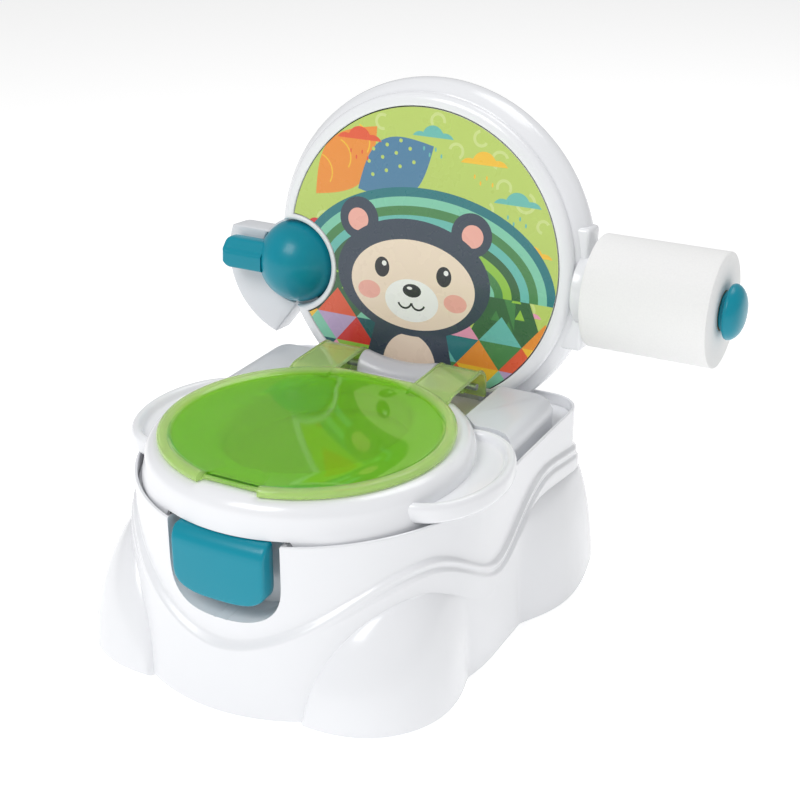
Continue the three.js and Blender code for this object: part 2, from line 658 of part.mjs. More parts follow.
function batteryTray() {
  const { x, z, wide, tall } = BATTERY;
  const w = wide / 2 - 1.5;
  const h = tall / 2 - 1.5;
  return cut(
    box(x - w, x + w, 12, 32.7, z - h, z + h),
    box(x - w + 2, x + w - 2, 14.5, 40, z - h + 2, z + h - 2),
  );
}
const CELLS = [-17, 0, 17];
const cell = (dx) => join(
  rod('z', BATTERY.x + dx, 23.5, BATTERY.z - 24, BATTERY.z + 23, 7, 16),
  rod('z', BATTERY.x + dx, 23.5, BATTERY.z + 22, BATTERY.z + 24.5, 2.6, 8),
);
function batteryDoor() {
  const { x, z, wide, tall } = BATTERY;
  const w = wide / 2 - GAP;
  const h = tall / 2 - GAP;
  return cut(box(x - w, x + w, 33.4, PANEL.depth, z - h, z + h),
    rod('y', x, z + h - 5, 30, 45, SCREW.shank + GAP, 8),
    rod('y', x, z + h - 5, 35.2, 45, SCREW.head + GAP, 16));
}
const doorScrew = () => join(
  rod('y', BATTERY.x, BATTERY.z + BATTERY.tall / 2 - GAP - 5, 35.4, 36.8, SCREW.head, 12),
  rod('y', BATTERY.x, BATTERY.z + BATTERY.tall / 2 - GAP - 5, 33, 36, SCREW.shank, 8));
const circuitBoard = () => box(-56, 16, 12, 13.6, 4, 34);
const boardChip = () => box(-24, -12, 13.9, 16, 14, 24);
const speaker = () => turned('y', SPEAKER.x, SPEAKER.z, [
  [0, 20], [11, 20], [13, 24], [SPEAKER.radius - 1, 30], [SPEAKER.radius, 30.5],
  [SPEAKER.radius, 33], [0, 33],
], 32);
const powerSwitch = () => join(
  box(SWITCH.x - 3, SWITCH.x + 3, 30.5, PANEL.depth + 1.5, SWITCH.z - 2.6, SWITCH.z + 2.6),
  box(SWITCH.x - 7, SWITCH.x + 7, 30.5, 33.8, SWITCH.z - 5, SWITCH.z + 5));

// ---- flush lever -------------------------------------------------------------------------

const DOME_WALL = 2.5;
const SHAFT = { radius: 5, end: 33 };
const CAM = { front: 25.5, back: 29, radius: 8.5, reach: 21, half: 3 };

function leverDome() {
  const { x, z, y, ball } = PIVOT;
  const quarter = (r) => Array.from({ length: 9 }, (_, i) => {
    const t = (Math.PI / 2) * (1 - i / 8);
    return [r * Math.cos(t), y - r * Math.sin(t)];
  });
  const outside = quarter(ball).slice(1);
  const inner = ball - DOME_WALL;
  const inside = quarter(inner).slice(1, -1).reverse().filter(([r]) => r > SHAFT.radius + 1);
  const skirt = y + 2.5;
  return turned('y', x, z, [
    [0, y - ball], ...outside, [ball, skirt], [inner, skirt], ...inside,
    [SHAFT.radius, y - ball + 3.5], [SHAFT.radius, SHAFT.end], [0, SHAFT.end],
  ], 32);
}

function leverBar() {
  const { x, z, y, ball } = PIVOT;
  const profile = [...arc(-56, 3, 10, 180, 270, 4), [-20, -7], [-20, 17], ...arc(-60, 11, 6, 90, 180, 3)];
  const bar = pushed('y', profile.map(([u, v]) => [x + u, z + v]), -15, 7.5);
  const slope = new THREE.BoxGeometry(80, 20, 20).rotateX(-0.42).translate(x - 34, -19.5, z + 18.5);
  const clear = new THREE.SphereGeometry(ball + 2 * GAP, 24, 14).translate(x, y, z);
  return cut(bar, solid(slope), solid(clear), rod('y', x, z, y, 30, ball + GAP, 24));
}

function leverCam() {
  const { x, z } = PIVOT;
  const hub = rod('y', x, z, CAM.front, CAM.back, CAM.radius, 24);
  const finger = box(x, x + CAM.reach, CAM.front, CAM.back, z - CAM.half, z + CAM.half);
  return cut(join(hub, finger), rod('y', x, z, 20, 35, SHAFT.radius + GAP, 24));
}

const leverClip = () => cut(
  rod('y', PIVOT.x, PIVOT.z, CAM.back + 0.4, CAM.back + 1.6, CAM.radius - 0.5, 24),
  rod('y', PIVOT.x, PIVOT.z, 20, 35, SHAFT.radius + GAP, 24),
);

const microSwitch = () => box(PIVOT.x + 14, PIVOT.x + 27, 23, 30, PIVOT.z - 13, PIVOT.z - 5.5);

// A torsion spring wound round the lever's shaft.
function leverSpring() {
  class Coil extends THREE.Curve {
    getPoint(t) {
      const a = 2 * Math.PI * 1.6 * t;
      return new THREE.Vector3(
        PIVOT.x + 10.4 * Math.cos(a), 23.3 + 1.3 * t, PIVOT.z + 10.4 * Math.sin(a));
    }
  }
  const wire = new THREE.Shape(arc(0, 0, 0.5, 0, 270, 3).map(([u, v]) => new THREE.Vector2(u, v)));
  const wound = { steps: 22, extrudePath: new Coil(), bevelEnabled: false };
  return solid(new THREE.ExtrudeGeometry(wire, wound));
}

// ---- paper roll --------------------------------------------------------------------------

const ROLL_END = ROLL.left + ROLL.length;
const spindleShaft = () => join(
  rod('x', ROLL.y, ROLL.z, 129, 154, SPINDLE.tail, 20),
  rod('x', ROLL.y, ROLL.z, SPINDLE.bossEnd + GAP, ROLL_END, SPINDLE.shaft, 28),
);
const spindleKnob = () => {
  const { collar, knob } = SPINDLE;
  return turned('x', ROLL.y, ROLL.z, [
    [0, ROLL_END + GAP], [collar, ROLL_END + GAP], [collar, ROLL_END + 3.6],
    [knob - 1, ROLL_END + 4.2], [knob, ROLL_END + 6], [knob - 1, ROLL_END + 9.5],
    [knob - 6, ROLL_END + 14], [0, ROLL_END + 17.5],
  ], 28);
};
const coreTube = () => turned('x', ROLL.y, ROLL.z, [
  [CORE.inner, ROLL.left], [CORE.outer, ROLL.left], [CORE.outer, ROLL_END - 0.5],
  [CORE.inner, ROLL_END - 0.5], [CORE.inner, ROLL.left],
], 24);
const paperRoll = () => turned('x', ROLL.y, ROLL.z, [
  [ROLL.bore, ROLL.left], [ROLL.radius - 1, ROLL.left], [ROLL.radius, ROLL.left + 1],
  [ROLL.radius, ROLL_END - 1.5], [ROLL.radius - 1, ROLL_END - 0.5], [ROLL.bore, ROLL_END - 0.5],
  [ROLL.bore, ROLL.left],
], 36);

// ---- assembly ----------------------------------------------------------------------------

const model = new THREE.Group();
const panel = new THREE.Group();
panel.position.set(0, PANEL.y, PANEL.z);
panel.rotation.x = -LEAN;

model.add(
  mesh('base_shell', baseShell(), WHITE),
  mesh('deck_frame', deckFrame(), WHITE),
  mesh('rear_deck', rearDeck(), SOFT_WHITE),
  mesh('potty_bowl', bowl(), WHITE),
  mesh('bowl_grip', bowlGrip(), TEAL),
  mesh('seat_ring', seatRing(), WHITE),
  mesh('hinge_block', hingeBlock(), SOFT_WHITE),
  mesh('hinge_pin', rod('x', HINGE.y, HINGE.z, -74, 74, HINGE.pin, 20), STEEL),
  mesh('lid', lid(), LEAF),
  mesh('spindle_shaft', spindleShaft(), TEAL),
  mesh('spindle_knob', spindleKnob(), TEAL),
  mesh('core_tube', coreTube(), CARD),
  mesh('paper_roll', paperRoll(), PAPER),
  panel,
);
PADS.forEach((at, i) => model.add(mesh(`foot_pad_${i + 1}`, footPad(at), RUBBER)));
STOPS.forEach((at, i) => model.add(mesh(`ring_stop_${i + 1}`, ringStop(at), RUBBER)));
DECK_LUGS.forEach(([x, y], i) => (
  model.add(mesh(`deck_screw_${i + 1}`, screwUp(x, y, DECK.lugZ - GAP, 16), STEEL))));
BLOCK_SCREWS.forEach(([x, y], i) => (
  model.add(mesh(`rear_deck_screw_${i + 1}`, screwUp(x, y, DECK.bottom - GAP, 16), STEEL))));
PLUG_SCREWS.forEach((x, i) => model.add(mesh(
  `plug_screw_${i + 1}`, screwUp(x, (SOCKET.front + SOCKET.rear) / 2, SOCKET.bottom - GAP, 7), STEEL)));

panel.add(
  mesh('panel_bezel', bezel(), WHITE),
  mesh('art_panel', artPanel(), PRINT),
  mesh('panel_back_cover', backCover(), WHITE),
  mesh('battery_tray', batteryTray(), DARK),
  mesh('battery_door', batteryDoor(), WHITE),
  mesh('battery_door_screw', doorScrew(), STEEL),
  mesh('circuit_board', circuitBoard(), BOARD),
  mesh('sound_chip', boardChip(), DARK),
  mesh('speaker', speaker(), DARK),
  mesh('power_switch', powerSwitch(), TEAL),
  mesh('lever_dome', leverDome(), TEAL),
  mesh('lever_bar', leverBar(), TEAL),
  mesh('lever_cam', leverCam(), WHITE),
  mesh('lever_clip', leverClip(), STEEL),
  mesh('lever_spring', leverSpring(), STEEL),
  mesh('lever_switch', microSwitch(), DARK),
);
CELLS.forEach((dx, i) => panel.add(mesh(`battery_${i + 1}`, cell(dx), CELL)));
SCREWS_BACK.forEach(([x, z], i) => (
  panel.add(mesh(`panel_screw_${i + 1}`, screwForward(x, z, 31.8, 16), STEEL))));

// The origin is the centre of the bounding box's bottom face.
model.updateMatrixWorld(true);
const extent = new THREE.Box3().setFromObject(model, true);
const chair = new THREE.Group();
model.position.set(-(extent.min.x + extent.max.x) / 2, -(extent.min.y + extent.max.y) / 2, -extent.min.z);
chair.add(model);

export default chair;
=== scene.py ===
import json

import bmesh
import bpy
import numpy as np
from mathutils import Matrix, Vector, geometry

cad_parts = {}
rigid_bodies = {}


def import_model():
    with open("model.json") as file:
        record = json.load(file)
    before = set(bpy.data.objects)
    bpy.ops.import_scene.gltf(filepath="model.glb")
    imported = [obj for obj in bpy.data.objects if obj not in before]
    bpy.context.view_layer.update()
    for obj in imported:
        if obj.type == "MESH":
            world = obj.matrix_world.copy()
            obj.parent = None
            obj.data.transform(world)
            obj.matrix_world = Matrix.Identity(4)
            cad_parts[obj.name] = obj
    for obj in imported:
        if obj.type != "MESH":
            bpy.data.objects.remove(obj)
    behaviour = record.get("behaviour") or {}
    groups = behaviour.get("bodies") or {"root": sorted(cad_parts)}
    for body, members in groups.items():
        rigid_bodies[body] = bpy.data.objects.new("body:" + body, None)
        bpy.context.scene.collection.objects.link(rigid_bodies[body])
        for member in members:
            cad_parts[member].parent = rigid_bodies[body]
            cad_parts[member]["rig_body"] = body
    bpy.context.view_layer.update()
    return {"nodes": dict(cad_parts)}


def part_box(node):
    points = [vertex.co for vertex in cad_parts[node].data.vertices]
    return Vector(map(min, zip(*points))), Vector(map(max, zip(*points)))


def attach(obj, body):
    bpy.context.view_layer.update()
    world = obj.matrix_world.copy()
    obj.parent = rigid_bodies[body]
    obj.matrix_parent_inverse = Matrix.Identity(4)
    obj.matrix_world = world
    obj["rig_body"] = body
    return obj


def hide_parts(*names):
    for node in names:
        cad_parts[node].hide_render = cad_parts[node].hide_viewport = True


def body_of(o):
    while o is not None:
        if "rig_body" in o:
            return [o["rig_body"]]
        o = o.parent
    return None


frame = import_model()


# ---- base ---------------------------------------------------------------------------------
# The base is one white injection-moulded shell that stands on four swelling paws. Two waves run
# round it: the upper wall steps out at the first, and the paws begin at the second. A pocket in
# the front takes the bowl's grip. The shell is polished in the mould and open underneath.

base_low, base_high = (np.array(end) * 1000 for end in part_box("base_shell"))
ring_low = np.array(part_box("seat_ring")[0]) * 1000
ring_radius, ring_y = 130.0, -59.0
home = np.array([(base_low[0] + base_high[0]) / 2, ring_low[1] + ring_radius - ring_y, 0.0])


def ease(t):
    """A smooth step: three t squared less two t cubed, held between 0 and 1."""
    s = np.clip(t, 0.0, 1.0)
    return s * s * (3 - 2 * s)


def mesh_of(name, sheets, sharp=35.0):
    """Joins grids of points, in millimetres about the chair's middle, into one closed mesh in metres.
    Each sheet is (points by row and column, columns close up, rows close up, ends capped)."""
    points, faces, start = [], [], 0
    for grid, closed, looped, capped in sheets:
        rows, cols = grid.shape[:2]
        index = start + np.arange(rows * cols).reshape(rows, cols)
        ends = (index[0], index[-1])
        if closed:
            index = np.hstack([index, index[:, :1]])
        if looped:
            index = np.vstack([index, index[:1]])
        quads = np.stack([index[:-1, :-1], index[:-1, 1:], index[1:, 1:], index[1:, :-1]], axis=-1)
        faces += quads.reshape(-1, 4).tolist()
        if capped:
            faces += [ends[0][::-1].tolist(), ends[1].tolist()]
        points.append((grid.reshape(-1, 3) + home) / 1000)
        start += rows * cols
    mesh = bpy.data.meshes.new(name)
    mesh.from_pydata(np.concatenate(points).tolist(), [], faces)
    work = bmesh.new()
    work.from_mesh(mesh)
    bmesh.ops.remove_doubles(work, verts=work.verts, dist=2e-6)
    bmesh.ops.dissolve_degenerate(work, dist=1e-6, edges=work.edges)
    bmesh.ops.triangulate(work, faces=[f for f in work.faces if len(f.verts) == 4], quad_method="SHORT_EDGE")
    bmesh.ops.recalc_face_normals(work, faces=work.faces)
    work.to_mesh(mesh)
    work.free()
    mesh.shade_smooth()
    mesh.set_sharp_from_angle(angle=np.radians(sharp))
    return mesh


def piece(name, mesh, material, body, stands_for=()):
    """Places a finished mesh as a piece that moves with one body and stands for its CAD nodes."""
    made = bpy.data.objects.new(name, mesh)
    bpy.context.scene.collection.objects.link(made)
    mesh.materials.clear()
    mesh.materials.append(material)
    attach(made, body)
    if stands_for:
        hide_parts(*stands_for)
    return made


def new_group(name, inputs, outputs):
    """An empty node group with float, colour or vector sockets: inputs are name, kind and value."""
    tree = bpy.data.node_groups.new(name, "ShaderNodeTree")
    for label, kind, value in inputs:
        socket = tree.interface.new_socket(label, in_out="INPUT", socket_type="NodeSocket" + kind)
        socket.default_value = value
    for label, kind in outputs:
        tree.interface.new_socket(label, in_out="OUTPUT", socket_type="NodeSocket" + kind)
    return tree, tree.nodes.new("NodeGroupInput"), tree.nodes.new("NodeGroupOutput")


def node(tree, kind, **values):
    """A node with the given properties; names that are inputs are set as constants."""
    made = tree.nodes.new("ShaderNode" + kind)
    for key, value in values.items():
        label = key.replace("_", " ").title() if key not in dir(made) else None
        if label is None:
            setattr(made, key, value)
        else:
            made.inputs[label].default_value = value
    return made


def noise(tree, place, scale, detail=3.0, roughness=0.5):
    """A noise texture on the given coordinates; scale is in waves per metre."""
    made = node(tree, "TexNoise", scale=scale, detail=detail, roughness=roughness)
    tree.links.new(place, made.inputs["Vector"])
    return made.outputs["Fac"]


def sums(tree, operation, first, second, third=None):
    """One Math node; each operand is a socket or a number."""
    made = tree.nodes.new("ShaderNodeMath")
    made.operation = operation
    for socket, operand in zip(made.inputs, (first, second, third)):
        if operand is None:
            continue
        if isinstance(operand, (int, float)):
            socket.default_value = operand
        else:
            tree.links.new(operand, socket)
    return made.outputs[0]


def tinted(tree, first, second, amount):
    """The mix of two colours by an amount; each is a socket or a value."""
    made = tree.nodes.new("ShaderNodeMix")
    made.data_type = "RGBA"
    a, b = [s for s in made.inputs if s.type == "RGBA"]
    for socket, operand in ((a, first), (b, second)):
        if isinstance(operand, tuple):
            socket.default_value = operand
        else:
            tree.links.new(operand, socket)
    if isinstance(amount, (int, float)):
        made.inputs[0].default_value = amount
    else:
        tree.links.new(amount, made.inputs[0])
    return [s for s in made.outputs if s.type == "RGBA"][0]


# Moulded skin: slow drifts of tone and gloss where the melt flowed, and a very fine orange peel.
skin, skin_in, skin_out = new_group("moulded skin", [
    ("Colour", "Color", (1, 1, 1, 1)), ("Shade", "Color", (0.9, 0.9, 0.9, 1)), ("Drift", "Float", 0.3),
    ("Gloss", "Float", 0.25), ("Unevenness", "Float", 0.08), ("Peel", "Float", 0.05),
], [("Colour", "Color"), ("Roughness", "Float"), ("Normal", "Vector")])
place = skin.nodes.new("ShaderNodeTexCoord").outputs["Object"]
flow = noise(skin, place, 14.0, 4.0)
patch = noise(skin, place, 55.0, 3.0)
drifted = sums(skin, "MULTIPLY", flow, skin_in.outputs["Drift"])
mottled = tinted(skin, skin_in.outputs["Colour"], skin_in.outputs["Shade"], drifted)
skin.links.new(mottled, skin_out.inputs["Colour"])
uneven = sums(skin, "MULTIPLY", sums(skin, "SUBTRACT", patch, 0.5), skin_in.outputs["Unevenness"])
skin.links.new(sums(skin, "ADD", skin_in.outputs["Gloss"], uneven), skin_out.inputs["Roughness"])
peel = node(skin, "Bump", distance=0.0002)
skin.links.new(noise(skin, place, 420.0, 2.0), peel.inputs["Height"])
skin.links.new(skin_in.outputs["Peel"], peel.inputs["Strength"])
skin.links.new(peel.outputs["Normal"], skin_out.inputs["Normal"])


def srgb(r, g, b):
    """A colour given as 0 to 255 screen values, turned to the linear values that shaders use."""
    c = np.array([r, g, b]) / 255
    linear = np.where(c <= 0.04045, c / 12.92, ((c + 0.055) / 1.055) ** 2.4)
    return (*linear.tolist(), 1.0)


def moulded(name, colour, shade, gloss=0.22, peel=0.06, drift=0.5, coat=0.25, **sockets):
    """A moulded plastic: the skin group drives colour, roughness and normal of one Principled shader."""
    material = bpy.data.materials.new(name)
    material.use_nodes = True
    tree = material.node_tree
    shader = tree.nodes["Principled BSDF"]
    surface = tree.nodes.new("ShaderNodeGroup")
    surface.node_tree = skin
    surface.inputs["Colour"].default_value = colour
    surface.inputs["Shade"].default_value = shade
    surface.inputs["Drift"].default_value = drift
    surface.inputs["Gloss"].default_value = gloss
    surface.inputs["Peel"].default_value = peel
    tree.links.new(surface.outputs["Colour"], shader.inputs["Base Color"])
    tree.links.new(surface.outputs["Roughness"], shader.inputs["Roughness"])
    tree.links.new(surface.outputs["Normal"], shader.inputs["Normal"])
    shader.inputs["Coat Weight"].default_value = coat
    shader.inputs["Coat Roughness"].default_value = 0.08
    for label, value in sockets.items():
        shader.inputs[label.replace("_", " ")].default_value = value
    return material


white_plastic = moulded("white polished plastic", srgb(243, 244, 247), srgb(236, 238, 242))

half_width, front_radius, arc_y, rear_y, corner = 146.0, 149.0, -45.0, 155.0, 27.0
base_bottom, rim_front, rim_side, wall = 1.5, 140.0, 143.0, 2.6
upper_wave = np.array([[0, 57], [62, 117], [98, 78], [128, 117], [146, 106], [180, 104]], float)
paw_wave = np.array([[58, 92], [90, 56], [123, 97], [146, 86], [180, 84]], float)
paw_start = 24.5
pocket_half, pocket_bottom, pocket_shoulder, pocket_back = 48.5, 73.0, 112.0, -163.0


def wave(angle, turns):
    """The height of a wavy line: smooth steps between its crests and troughs."""
    at = np.clip(angle, turns[0, 0], turns[-1, 0])
    k = np.clip(np.searchsorted(turns[:, 0], at, side="right") - 1, 0, len(turns) - 2)
    t = (at - turns[k, 0]) / (turns[k + 1, 0] - turns[k, 0])
    return turns[k, 1] + (turns[k + 1, 1] - turns[k, 1]) * ease(t)


def paw_line(angle):
    """Where the paws begin: a steep quarter arc up from the floor at the front, then the second wave."""
    away = np.clip((paw_wave[0, 0] - angle) / (paw_wave[0, 0] - paw_start), 0, 1)
    front = paw_wave[0, 1] * (1 - away ** 2) ** 0.6
    line = np.where(angle >= paw_wave[0, 0], wave(angle, paw_wave), front)
    return np.maximum(line, base_bottom + 0.8)


def swell(angle, middle, spread, reach):
    """A paw's bulge seen from above: its reach times one less the squared distance, to the 1.25."""
    away = np.clip(np.abs(angle - middle) / spread, 0, 1)
    return reach * (1 - away ** 2) ** 1.25


def stand_out(angle, z):
    """How far the wall stands outside the rim: a rounded step below the first wave, a slow flare
    to the floor, and the paws' swelling below the second. At the sides the step is a double bead."""
    upper, paw = wave(angle, upper_wave), paw_line(angle)
    flare = 15 - 7 * ease(angle / 75) - 4 * ease((angle - 135) / 45)
    side = ease((angle - 22) / 34) * (1 - ease((angle - 150) / 25))
    below = upper - z
    one = ease(below / 7)
    two = 0.5 * ease(below / 3.2) + 0.5 * ease((below - 8.5) / 3.2)
    bead = 0.9 * np.exp(-((below - 4.5) / 2.2) ** 2) * side
    out = 5 * ((1 - side) * one + side * two) + bead
    out = out + np.maximum(flare - 5, 0) * np.clip(below / upper, 0, 1) ** 1.2
    lobe = 1.5 + swell(angle, 49, 27, 29) + swell(angle, 129, 20, 21)
    inside = np.clip(1 - (z / paw) ** 2, 0, 1) ** 0.75
    return np.where(angle > paw_start, out + lobe * inside, out)


def rim_outline():
    """The rim seen from above: a half ellipse at the front, straight sides and rounded rear corners.
    Gives x, y, the outward direction and the angle from the front, for the right half."""
    t = np.concatenate([np.arcsin(np.linspace(0, 62, 53) / half_width),
                        np.linspace(np.arcsin(62 / half_width), np.pi / 2, 58)[1:]])
    x, y = half_width * np.sin(t), arc_y - front_radius * np.cos(t)
    nx, ny = np.sin(t) / half_width, -np.cos(t) / front_radius
    size = np.hypot(nx, ny)
    parts = [np.stack([x, y, nx / size, ny / size], 1)]
    straight = np.linspace(arc_y, rear_y - corner, 60)[1:]
    parts.append(np.stack([0 * straight + half_width, straight, 0 * straight + 1, 0 * straight], 1))
    t = np.linspace(0, np.pi / 2, 15)[1:]
    parts.append(np.stack([half_width - corner + corner * np.cos(t),
                           rear_y - corner + corner * np.sin(t), np.cos(t), np.sin(t)], 1))
    across = np.linspace(half_width - corner, 0, 31)[1:]
    parts.append(np.stack([across, 0 * across + rear_y, 0 * across, 0 * across + 1], 1))
    right = np.concatenate(parts)
    left = right[1:-1][::-1] * np.array([-1, 1, -1, 1])
    whole = np.concatenate([right, left])
    angle = np.degrees(np.arctan2(np.abs(whole[:, 0]), arc_y - whole[:, 1]))
    return whole, angle


outline, around = rim_outline()
rim_z = rim_front + (rim_side - rim_front) * ease(around / 60)


def wall_heights():
    """Heights of the wall's rows: close together at the paws' crease and at the step, up to the rim."""
    paw = paw_line(around)
    upper = np.maximum(wave(around, upper_wave), paw + 5)
    low = np.maximum(upper - 18, (upper + paw) / 2)
    s = np.linspace(0, 1, 30)[:, None]
    rows = [base_bottom + (paw - base_bottom) * (1 - (1 - s) ** 1.7)]
    rows.append(paw + (low - paw) * np.linspace(0, 1, 8)[1:, None])
    rows.append(low + (upper + 0.6 - low) * np.linspace(0, 1, 18)[1:, None])
    top = rim_z - 1.3
    rows.append(upper + 0.6 + (top - upper - 0.6) * np.linspace(0, 1, 62)[1:, None])
    return np.concatenate(rows)


def pocket_reach(x, z, grow):
    """How far a point lies inside the pocket's outline, and the outward direction there. The outline
    is a rounded arch, upside down: across cubed plus drop cubed is one below its shoulder."""
    w, drop = pocket_half + grow, pocket_shoulder - pocket_bottom + grow
    size = lambda u, v: ((np.abs(u) / w) ** 3 + (np.maximum(pocket_shoulder - v, 0) / drop) ** 3
                         + 1e-9) ** (1 / 3)
    fx = (size(x + 0.01, z) - size(x - 0.01, z)) / 0.02
    fz = (size(x, z + 0.01) - size(x, z - 0.01)) / 0.02
    steep = np.hypot(fx, fz) + 1e-6
    return (1 - size(x, z)) / steep, fx / steep, fz / steep


def pressed_in(points, grow, back, crisp):
    """Presses the pocket into the wall. Points near its outline are first drawn onto the outline and
    onto a line a small step inside it, so that the pocket's edge and its floor's edge are clean."""
    x, y, z = points[..., 0].copy(), points[..., 1].copy(), points[..., 2].copy()
    front = y < -100
    depth, ox, oz = pocket_reach(x, z, grow)
    depth = np.where(front, depth, -99)
    if crisp:
        lines = np.array([0.0, 1.3])
        nearest = np.argmin(np.abs(depth[..., None] - lines), axis=-1)
        drawn = np.abs(depth - 0.65) < 1.3
        move = np.where(drawn, depth - lines[nearest], 0)
        new_x = x + move * ox
        curve = lambda u: -front_radius * np.sqrt(np.clip(1 - (u / half_width) ** 2, 0.01, 1))
        y = np.where(drawn, y + curve(new_x) - curve(x), y)
        x, z = new_x, np.where(drawn, z + move * oz, z)
        y = np.where(depth > 0.65, back, y)
    else:
        y = y + (back - y) * ease((depth + 0.6) / 6)
    return np.stack([x, y, z], -1)


heights = wall_heights()
bend = np.radians(np.linspace(0, 180, 9))[1:-1, None]
rows_out = np.concatenate([stand_out(around, heights), 1.3 * np.cos(bend) - 1.3 + 0 * rim_z])
rows_z = np.concatenate([heights, rim_z - 1.3 + 1.3 * np.sin(bend)])
outer = np.stack([outline[:, 0] + rows_out * outline[:, 2], outline[:, 1] + rows_out * outline[:, 3],
                  rows_z], axis=-1)
outer = pressed_in(outer, 0.0, pocket_back, True)
inner_z = heights[::-1][::4]
inner_out = stand_out(around, inner_z) - wall
inner = np.stack([outline[:, 0] + inner_out * outline[:, 2], outline[:, 1] + inner_out * outline[:, 3],
                  inner_z], axis=-1)
inner = pressed_in(inner, wall, pocket_back + wall, False)
foot = inner[-1:].copy()
foot[..., 2] = base_bottom
base_mesh = mesh_of("base shell", [(np.concatenate([outer, inner, foot]), True, True, False)], 50)
piece("base_moulding", base_mesh, white_plastic, "base", ["base_shell"])


# ---- deck frame and raised rear deck --------------------------------------------------------
# The deck frame is a flat white moulding screwed up to lugs inside the base. The raised rear deck
# is a separate, slightly greyer moulding with broad chamfers, held to it by four screws from below.


def finished(node_name, material, radius, steps=3, sharp=40.0):
    """A CAD node's shape with its edges rolled over: a copy is merged into whole faces and bevelled."""
    source = frame["nodes"][node_name]
    mesh = source.data.copy()
    work = bmesh.new()
    work.from_mesh(mesh)
    bmesh.ops.remove_doubles(work, verts=work.verts, dist=4e-6)
    bmesh.ops.dissolve_limit(work, angle_limit=np.radians(1.5), verts=work.verts, edges=work.edges)
    work.to_mesh(mesh)
    work.free()
    if "custom_normal" in mesh.attributes:
        mesh.attributes.remove(mesh.attributes["custom_normal"])
    mesh.shade_smooth()
    mesh.set_sharp_from_angle(angle=np.radians(sharp))
    made = piece(node_name + "_finished", mesh, material, body_of(source)[0], [node_name])
    bevel = made.modifiers.new("rolled edges", "BEVEL")
    bevel.width = radius / 1000
    bevel.segments = steps
    bevel.limit_method = "ANGLE"
    bevel.angle_limit = np.radians(38)
    bevel.use_clamp_overlap = True
    bevel.harden_normals = True
    return made


soft_white_plastic = moulded("soft white plastic", srgb(226, 228, 232), srgb(214, 217, 222), gloss=0.32)
finished("deck_frame", white_plastic, 0.5, 2)
finished("rear_deck", soft_white_plastic, 0.8, 3)


# ---- seat ring ------------------------------------------------------------------------------
# The seat ring is one thick white moulding, hollow underneath, with a steep outer wall, a rounded
# shoulder and an oval opening. A dished side grip grows out of each side. It lifts straight off.

skirt, ring_bottom, ring_top, shoulder = 135.5, 142.2, 171.0, 13.0
open_a, open_b, open_y = 68.0, 89.0, -47.0


def ring_surface(columns=240):
    """The ring's section carried round: the outer circle and the oval opening are joined column by
    column, with a quarter-round shoulder, a slightly crowned top and an inner wall 2.6 mm inside.
    The outer skirt reaches down inside the base's rim, except over the bowl's grip, and spreads a few
    millimetres toward the rim's front corners."""
    t = np.linspace(0, 2 * np.pi, columns, endpoint=False)
    unit = np.stack([np.sin(t), -np.cos(t), 0 * t], -1)
    circle = lambda inset: unit * (ring_radius - inset) + np.array([0, ring_y, 0])
    opening = lambda out: unit * np.array([open_a + out, open_b + out, 0]) + np.array([0, open_y, 0])
    lift = lambda flat, z: flat + np.array([0, 0, z])
    a = np.radians(np.linspace(0, 90, 9))
    rows = [lift(circle(i), z) for i, z in ((1.6, skirt), (0.5, skirt + 0.5), (0, skirt + 1.7), (0, 143.6),
                                            (0, 149), (0, 153.5))]
    rows += [lift(circle(shoulder * (1 - np.cos(k))), ring_top - shoulder + shoulder * np.sin(k)) for k in a]
    for s in np.linspace(0, 1, 8)[1:-1]:
        rows.append(lift(circle(shoulder) * (1 - s) + opening(7) * s, ring_top + 0.5 * np.sin(np.pi * s)))
    rows += [lift(opening(7 * (1 - np.sin(k))), ring_top - 8 * (1 - np.cos(k))) for k in a]
    rows += [lift(opening(o), z) for o, z in (
        (0, 157), (0, 150), (0, 145), (0.5, 143.8), (1.3, 143.5), (2.6, 143.9), (2.6, 150), (2.6, 160),
        (5.0, 165), (9.0, 168.4))]
    for s in (0.3, 0.6):
        rows.append(lift(opening(9) * (1 - s) + circle(14) * s, 168.4))
    rows += [lift(circle(i), z) for i, z in ((14, 168.4), (8, 166.5), (4, 162.5), (2.6, 157),
                                            (2.6, skirt + 0.6))]
    sheet = np.stack(rows)
    turn = np.degrees(np.abs(np.arctan2(sheet[..., 0], ring_y - sheet[..., 1])))
    spread = 3.0 * ease((turn - 20) / 20) * (1 - ease((turn - 62) / 18))
    spread = spread * (1 - ease((sheet[..., 2] - 143) / 12))
    spread = spread * (np.hypot(sheet[..., 0], sheet[..., 1] - ring_y) > 125)
    sheet = sheet + spread[..., None] * unit
    over_grip = (np.abs(sheet[..., 0]) < 54) & (sheet[..., 1] < -100)
    sheet[..., 2] = np.where(over_grip, np.maximum(sheet[..., 2], ring_bottom), sheet[..., 2])
    return sheet


